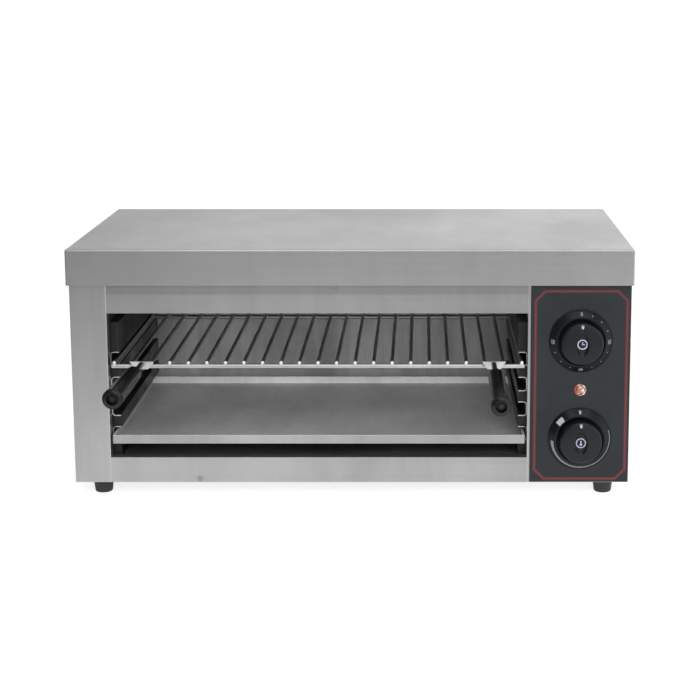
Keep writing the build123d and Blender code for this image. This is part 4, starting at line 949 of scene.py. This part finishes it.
class MELTER_OT_lamp(MelterOperator):
    """Build the pilot lamp's faceted lens"""
    bl_idname = "melter.lamp"
    bl_label = "Pilot lamp"

    def build(self, scene):
        low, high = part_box("pilot_lamp_lens")
        centre = middle("pilot_lamp_lens")
        rim = (high.x - low.x) / 2
        depth = high.y - low.y
        look = Finish("Lamp amber", (0.72, 0.42, 0.27), Roughness=0.16, Coat_Weight=0.4, Coat_Roughness=0.08,
                      Subsurface_Weight=0.25)
        look.shader.inputs["Subsurface Radius"].default_value = (0.0015, 0.0012, 0.0010)
        facets = look.graph.add("ShaderNodeTexVoronoi", {"Vector": look.place, "Scale": 330.0})
        cells = facets.outputs["Distance"]
        shifted = look.graph.add("ShaderNodeVectorMath", {0: look.place, 1: tuple(centre)},
                                 operation="SUBTRACT")
        side = look.graph.add("ShaderNodeSeparateXYZ", {0: shifted.outputs[0]}).outputs["X"]
        # Painted light across the lens: its left side is painted dark red-brown as shade, and its right side
        # shows the facet pattern in pale cream as a painted highlight.
        shade = look.graph.ranged(side, -0.0048, 0.0020, 0.0, 1.0)
        between = look.graph.ranged(cells, 0.1, 0.6, 0.0, 1.0)
        lit_facets = look.graph.mix(between, (0.95, 0.86, 0.72, 1), (0.28, 0.18, 0.12, 1))
        look.set("Base Color", look.graph.mix(shade, (0.24, 0.055, 0.03, 1), lit_facets))
        look.bump(cells, 0.5, 0.0004)
        collar = turned([(rim * 0.80, 0), (rim, 0), (rim, 0.9 * MM), (rim - 0.5 * MM, 1.5 * MM),
                         (rim * 0.80, 1.6 * MM), (rim * 0.78, 1.0 * MM)], centre.x, high.y, centre.z, 64)
        dome = turned([(rim * 0.79, 0.2 * MM), (rim * 0.79, 1.5 * MM), (rim * 0.66, depth * 0.72),
                       (rim * 0.38, depth * 0.95), (rim * 0.08, depth)], centre.x, high.y, centre.z, 12)
        made = piece("lamp_lens", joined([collar, dome]), look.material, "housing", 12.0)
        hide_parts("pilot_lamp_lens")


class MELTER_OT_stage(MelterOperator):
    """Lay the floor, light the object and set the camera"""
    bl_idname = "melter.stage"
    bl_label = "Floor, light and camera"

    def floor(self, stage):
        """White to the camera and to what shines, greyer towards the front of the room in what
        shines. Near the object a part of the white is given back to the lamps, so its shadow shows."""
        look = Finish("Floor paper", stage.floor, Roughness=0.9, Emission_Strength=1.0)
        graph = look.graph
        ray = graph.add("ShaderNodeLightPath").outputs
        shining = graph.math("MAXIMUM", ray["Is Glossy Ray"], ray["Is Transmission Ray"])
        seen = graph.math("MAXIMUM", ray["Is Camera Ray"], shining)
        black, white = (0.0, 0.0, 0.0, 1.0), (1.03, 1.03, 1.03, 1.0)
        place = graph.add("ShaderNodeSeparateXYZ", {0: look.place}).outputs
        away = graph.add("ShaderNodeVectorMath", {0: look.place}, operation="LENGTH").outputs["Value"]
        catches = graph.math("MULTIPLY", graph.ranged(away, 0.5, 1.1, 1.0, 0.0), stage.shadow)
        look.set("Base Color", graph.mix(seen, look.base, graph.mix(catches, black, white)))
        ahead = graph.ranged(place["Y"], -1.3, -0.2, 0.42, 0.96)
        across = graph.ranged(place["X"], -1.2, 1.0, 0.45, 1.45)
        mirrored = graph.math("MULTIPLY", graph.math("MULTIPLY", shining, ahead), across)
        level = graph.math("MAXIMUM", ray["Is Camera Ray"], mirrored)
        level = graph.math("MULTIPLY", level, graph.math("MULTIPLY_ADD", catches, -0.62, 1.0))
        look.set("Emission Color", graph.mix(level, black, white))
        look.bump(graph.noise(look.place, 400.0, 2.0), 0.02, 0.0002)
        half, below = 9.0, -0.2 * MM
        points = [(-half, -half, below), (half, -half, below), (half, half, below), (-half, half, below)]
        mesh = bpy.data.meshes.new("floor")
        mesh.from_pydata(points, [], [(0, 1, 2, 3)])
        mesh.materials.append(look.material)
        made = bpy.data.objects.new("floor", mesh)
        bpy.context.scene.collection.objects.link(made)

    def world(self, scene, stage):
        """The camera sees white; what shines sees white behind, a greyer room in front with a
        brighter window above the camera, and more light on the right; the rest is lit evenly."""
        world = bpy.data.worlds.new("Studio")
        scene.world = world
        world.use_nodes = True
        world.node_tree.nodes.clear()
        graph = Graph(world.node_tree)
        ray = graph.add("ShaderNodeLightPath").outputs
        towards = graph.add("ShaderNodeSeparateXYZ", {0: graph.add(COORDS).outputs["Generated"]}).outputs
        behind = graph.ranged(towards["Y"], -0.45, 0.30, stage.front, 1.05)
        side = graph.ranged(towards["X"], -0.5, 0.5, 1 - stage.slope / 2, 1 + stage.slope / 2)
        high = graph.ranged(towards["Z"], 0.30, 0.80, 1.0, 0.55)
        above = graph.ranged(towards["Z"], 0.02, 0.22, 0.0, stage.window)
        window = graph.math("MULTIPLY", above, graph.ranged(towards["Y"], -0.35, -0.65, 0.0, 1.0))
        shown = graph.math("MULTIPLY", graph.math("ADD", behind, window), graph.math("MULTIPLY", side, high))
        shown = graph.math("MAXIMUM", shown, ray["Is Camera Ray"])
        seen = graph.math("MAXIMUM", ray["Is Camera Ray"], ray["Is Glossy Ray"])
        seen = graph.math("MAXIMUM", seen, ray["Is Transmission Ray"])
        level = graph.math("MULTIPLY_ADD", seen, graph.math("SUBTRACT", shown, stage.room), stage.room)
        light = graph.add("ShaderNodeBackground", {"Color": (1, 1, 1, 1), "Strength": level})
        out = graph.add("ShaderNodeOutputWorld")
        world.node_tree.links.new(light.outputs[0], out.inputs[0])

    def lamp(self, name, place, target, size, power, shines=True):
        light = bpy.data.lights.new(name, "AREA")
        light.shape = "RECTANGLE"
        light.size, light.size_y = size
        light.energy = power
        made = bpy.data.objects.new(name, light)
        made.location = place
        made.visible_glossy = shines
        direction = Vector(target) - Vector(place)
        made.rotation_euler = direction.to_track_quat("-Z", "Y").to_euler()
        bpy.context.scene.collection.objects.link(made)

    def build(self, scene):
        stage = scene.melter_stage
        self.floor(stage)
        self.world(scene, stage)
        self.lamp("overhead softbox", (0.2, -0.7, 2.3), (0.0, 0.0, 0.1), (2.2, 1.4), stage.overhead)
        self.lamp("fill softbox", (0.3, -2.2, 0.95), (0.0, 0.0, 0.12), (1.8, 1.0), stage.fill, shines=False)
        data = bpy.data.cameras.new("camera")
        data.lens = stage.lens
        data.sensor_width = 36.0
        data.shift_x, data.shift_y = -0.1051, -0.0915
        camera = bpy.data.objects.new("camera", data)
        camera.location = (0.07883, -1.90094, 0.56604)
        camera.rotation_euler = (stage.tilt, 0.0, 0.0)
        scene.collection.objects.link(camera)
        scene.camera = camera
        scene.view_settings.view_transform = "Standard"


STEPS = (MELTER_OT_shell, MELTER_OT_fixings, MELTER_OT_rack, MELTER_OT_handles, MELTER_OT_dials,
         MELTER_OT_fascia, MELTER_OT_lamp, MELTER_OT_stage)


class MELTER_PT_panel(Panel):
    """Sidebar panel with the sizes, the colours and a button for each step"""
    bl_idname = "MELTER_PT_panel"
    bl_label = "Cheese melter"
    bl_space_type = "VIEW_3D"
    bl_region_type = "UI"
    bl_category = "Melter"

    def draw(self, context):
        layout = self.layout
        for name in PROPERTY_GROUPS:
            box = layout.box()
            values = getattr(context.scene, name)
            for key in values.__annotations__:
                box.prop(values, key)
        for step in STEPS:
            layout.operator(step.bl_idname)


def register():
    for name, kind in PROPERTY_GROUPS.items():
        bpy.utils.register_class(kind)
        setattr(bpy.types.Scene, name, PointerProperty(type=kind))
    for kind in (*STEPS, MELTER_PT_panel):
        bpy.utils.register_class(kind)


def unregister():
    for kind in (MELTER_PT_panel, *reversed(STEPS)):
        bpy.utils.unregister_class(kind)
    for name, kind in PROPERTY_GROUPS.items():
        delattr(bpy.types.Scene, name)
        bpy.utils.unregister_class(kind)


def main():
    register()
    bpy.ops.melter.shell()
    bpy.ops.melter.fixings()
    bpy.ops.melter.rack()
    bpy.ops.melter.handles()
    bpy.ops.melter.dials()
    bpy.ops.melter.fascia()
    bpy.ops.melter.lamp()
    bpy.ops.melter.stage()


if __name__ == "__main__":
    main()
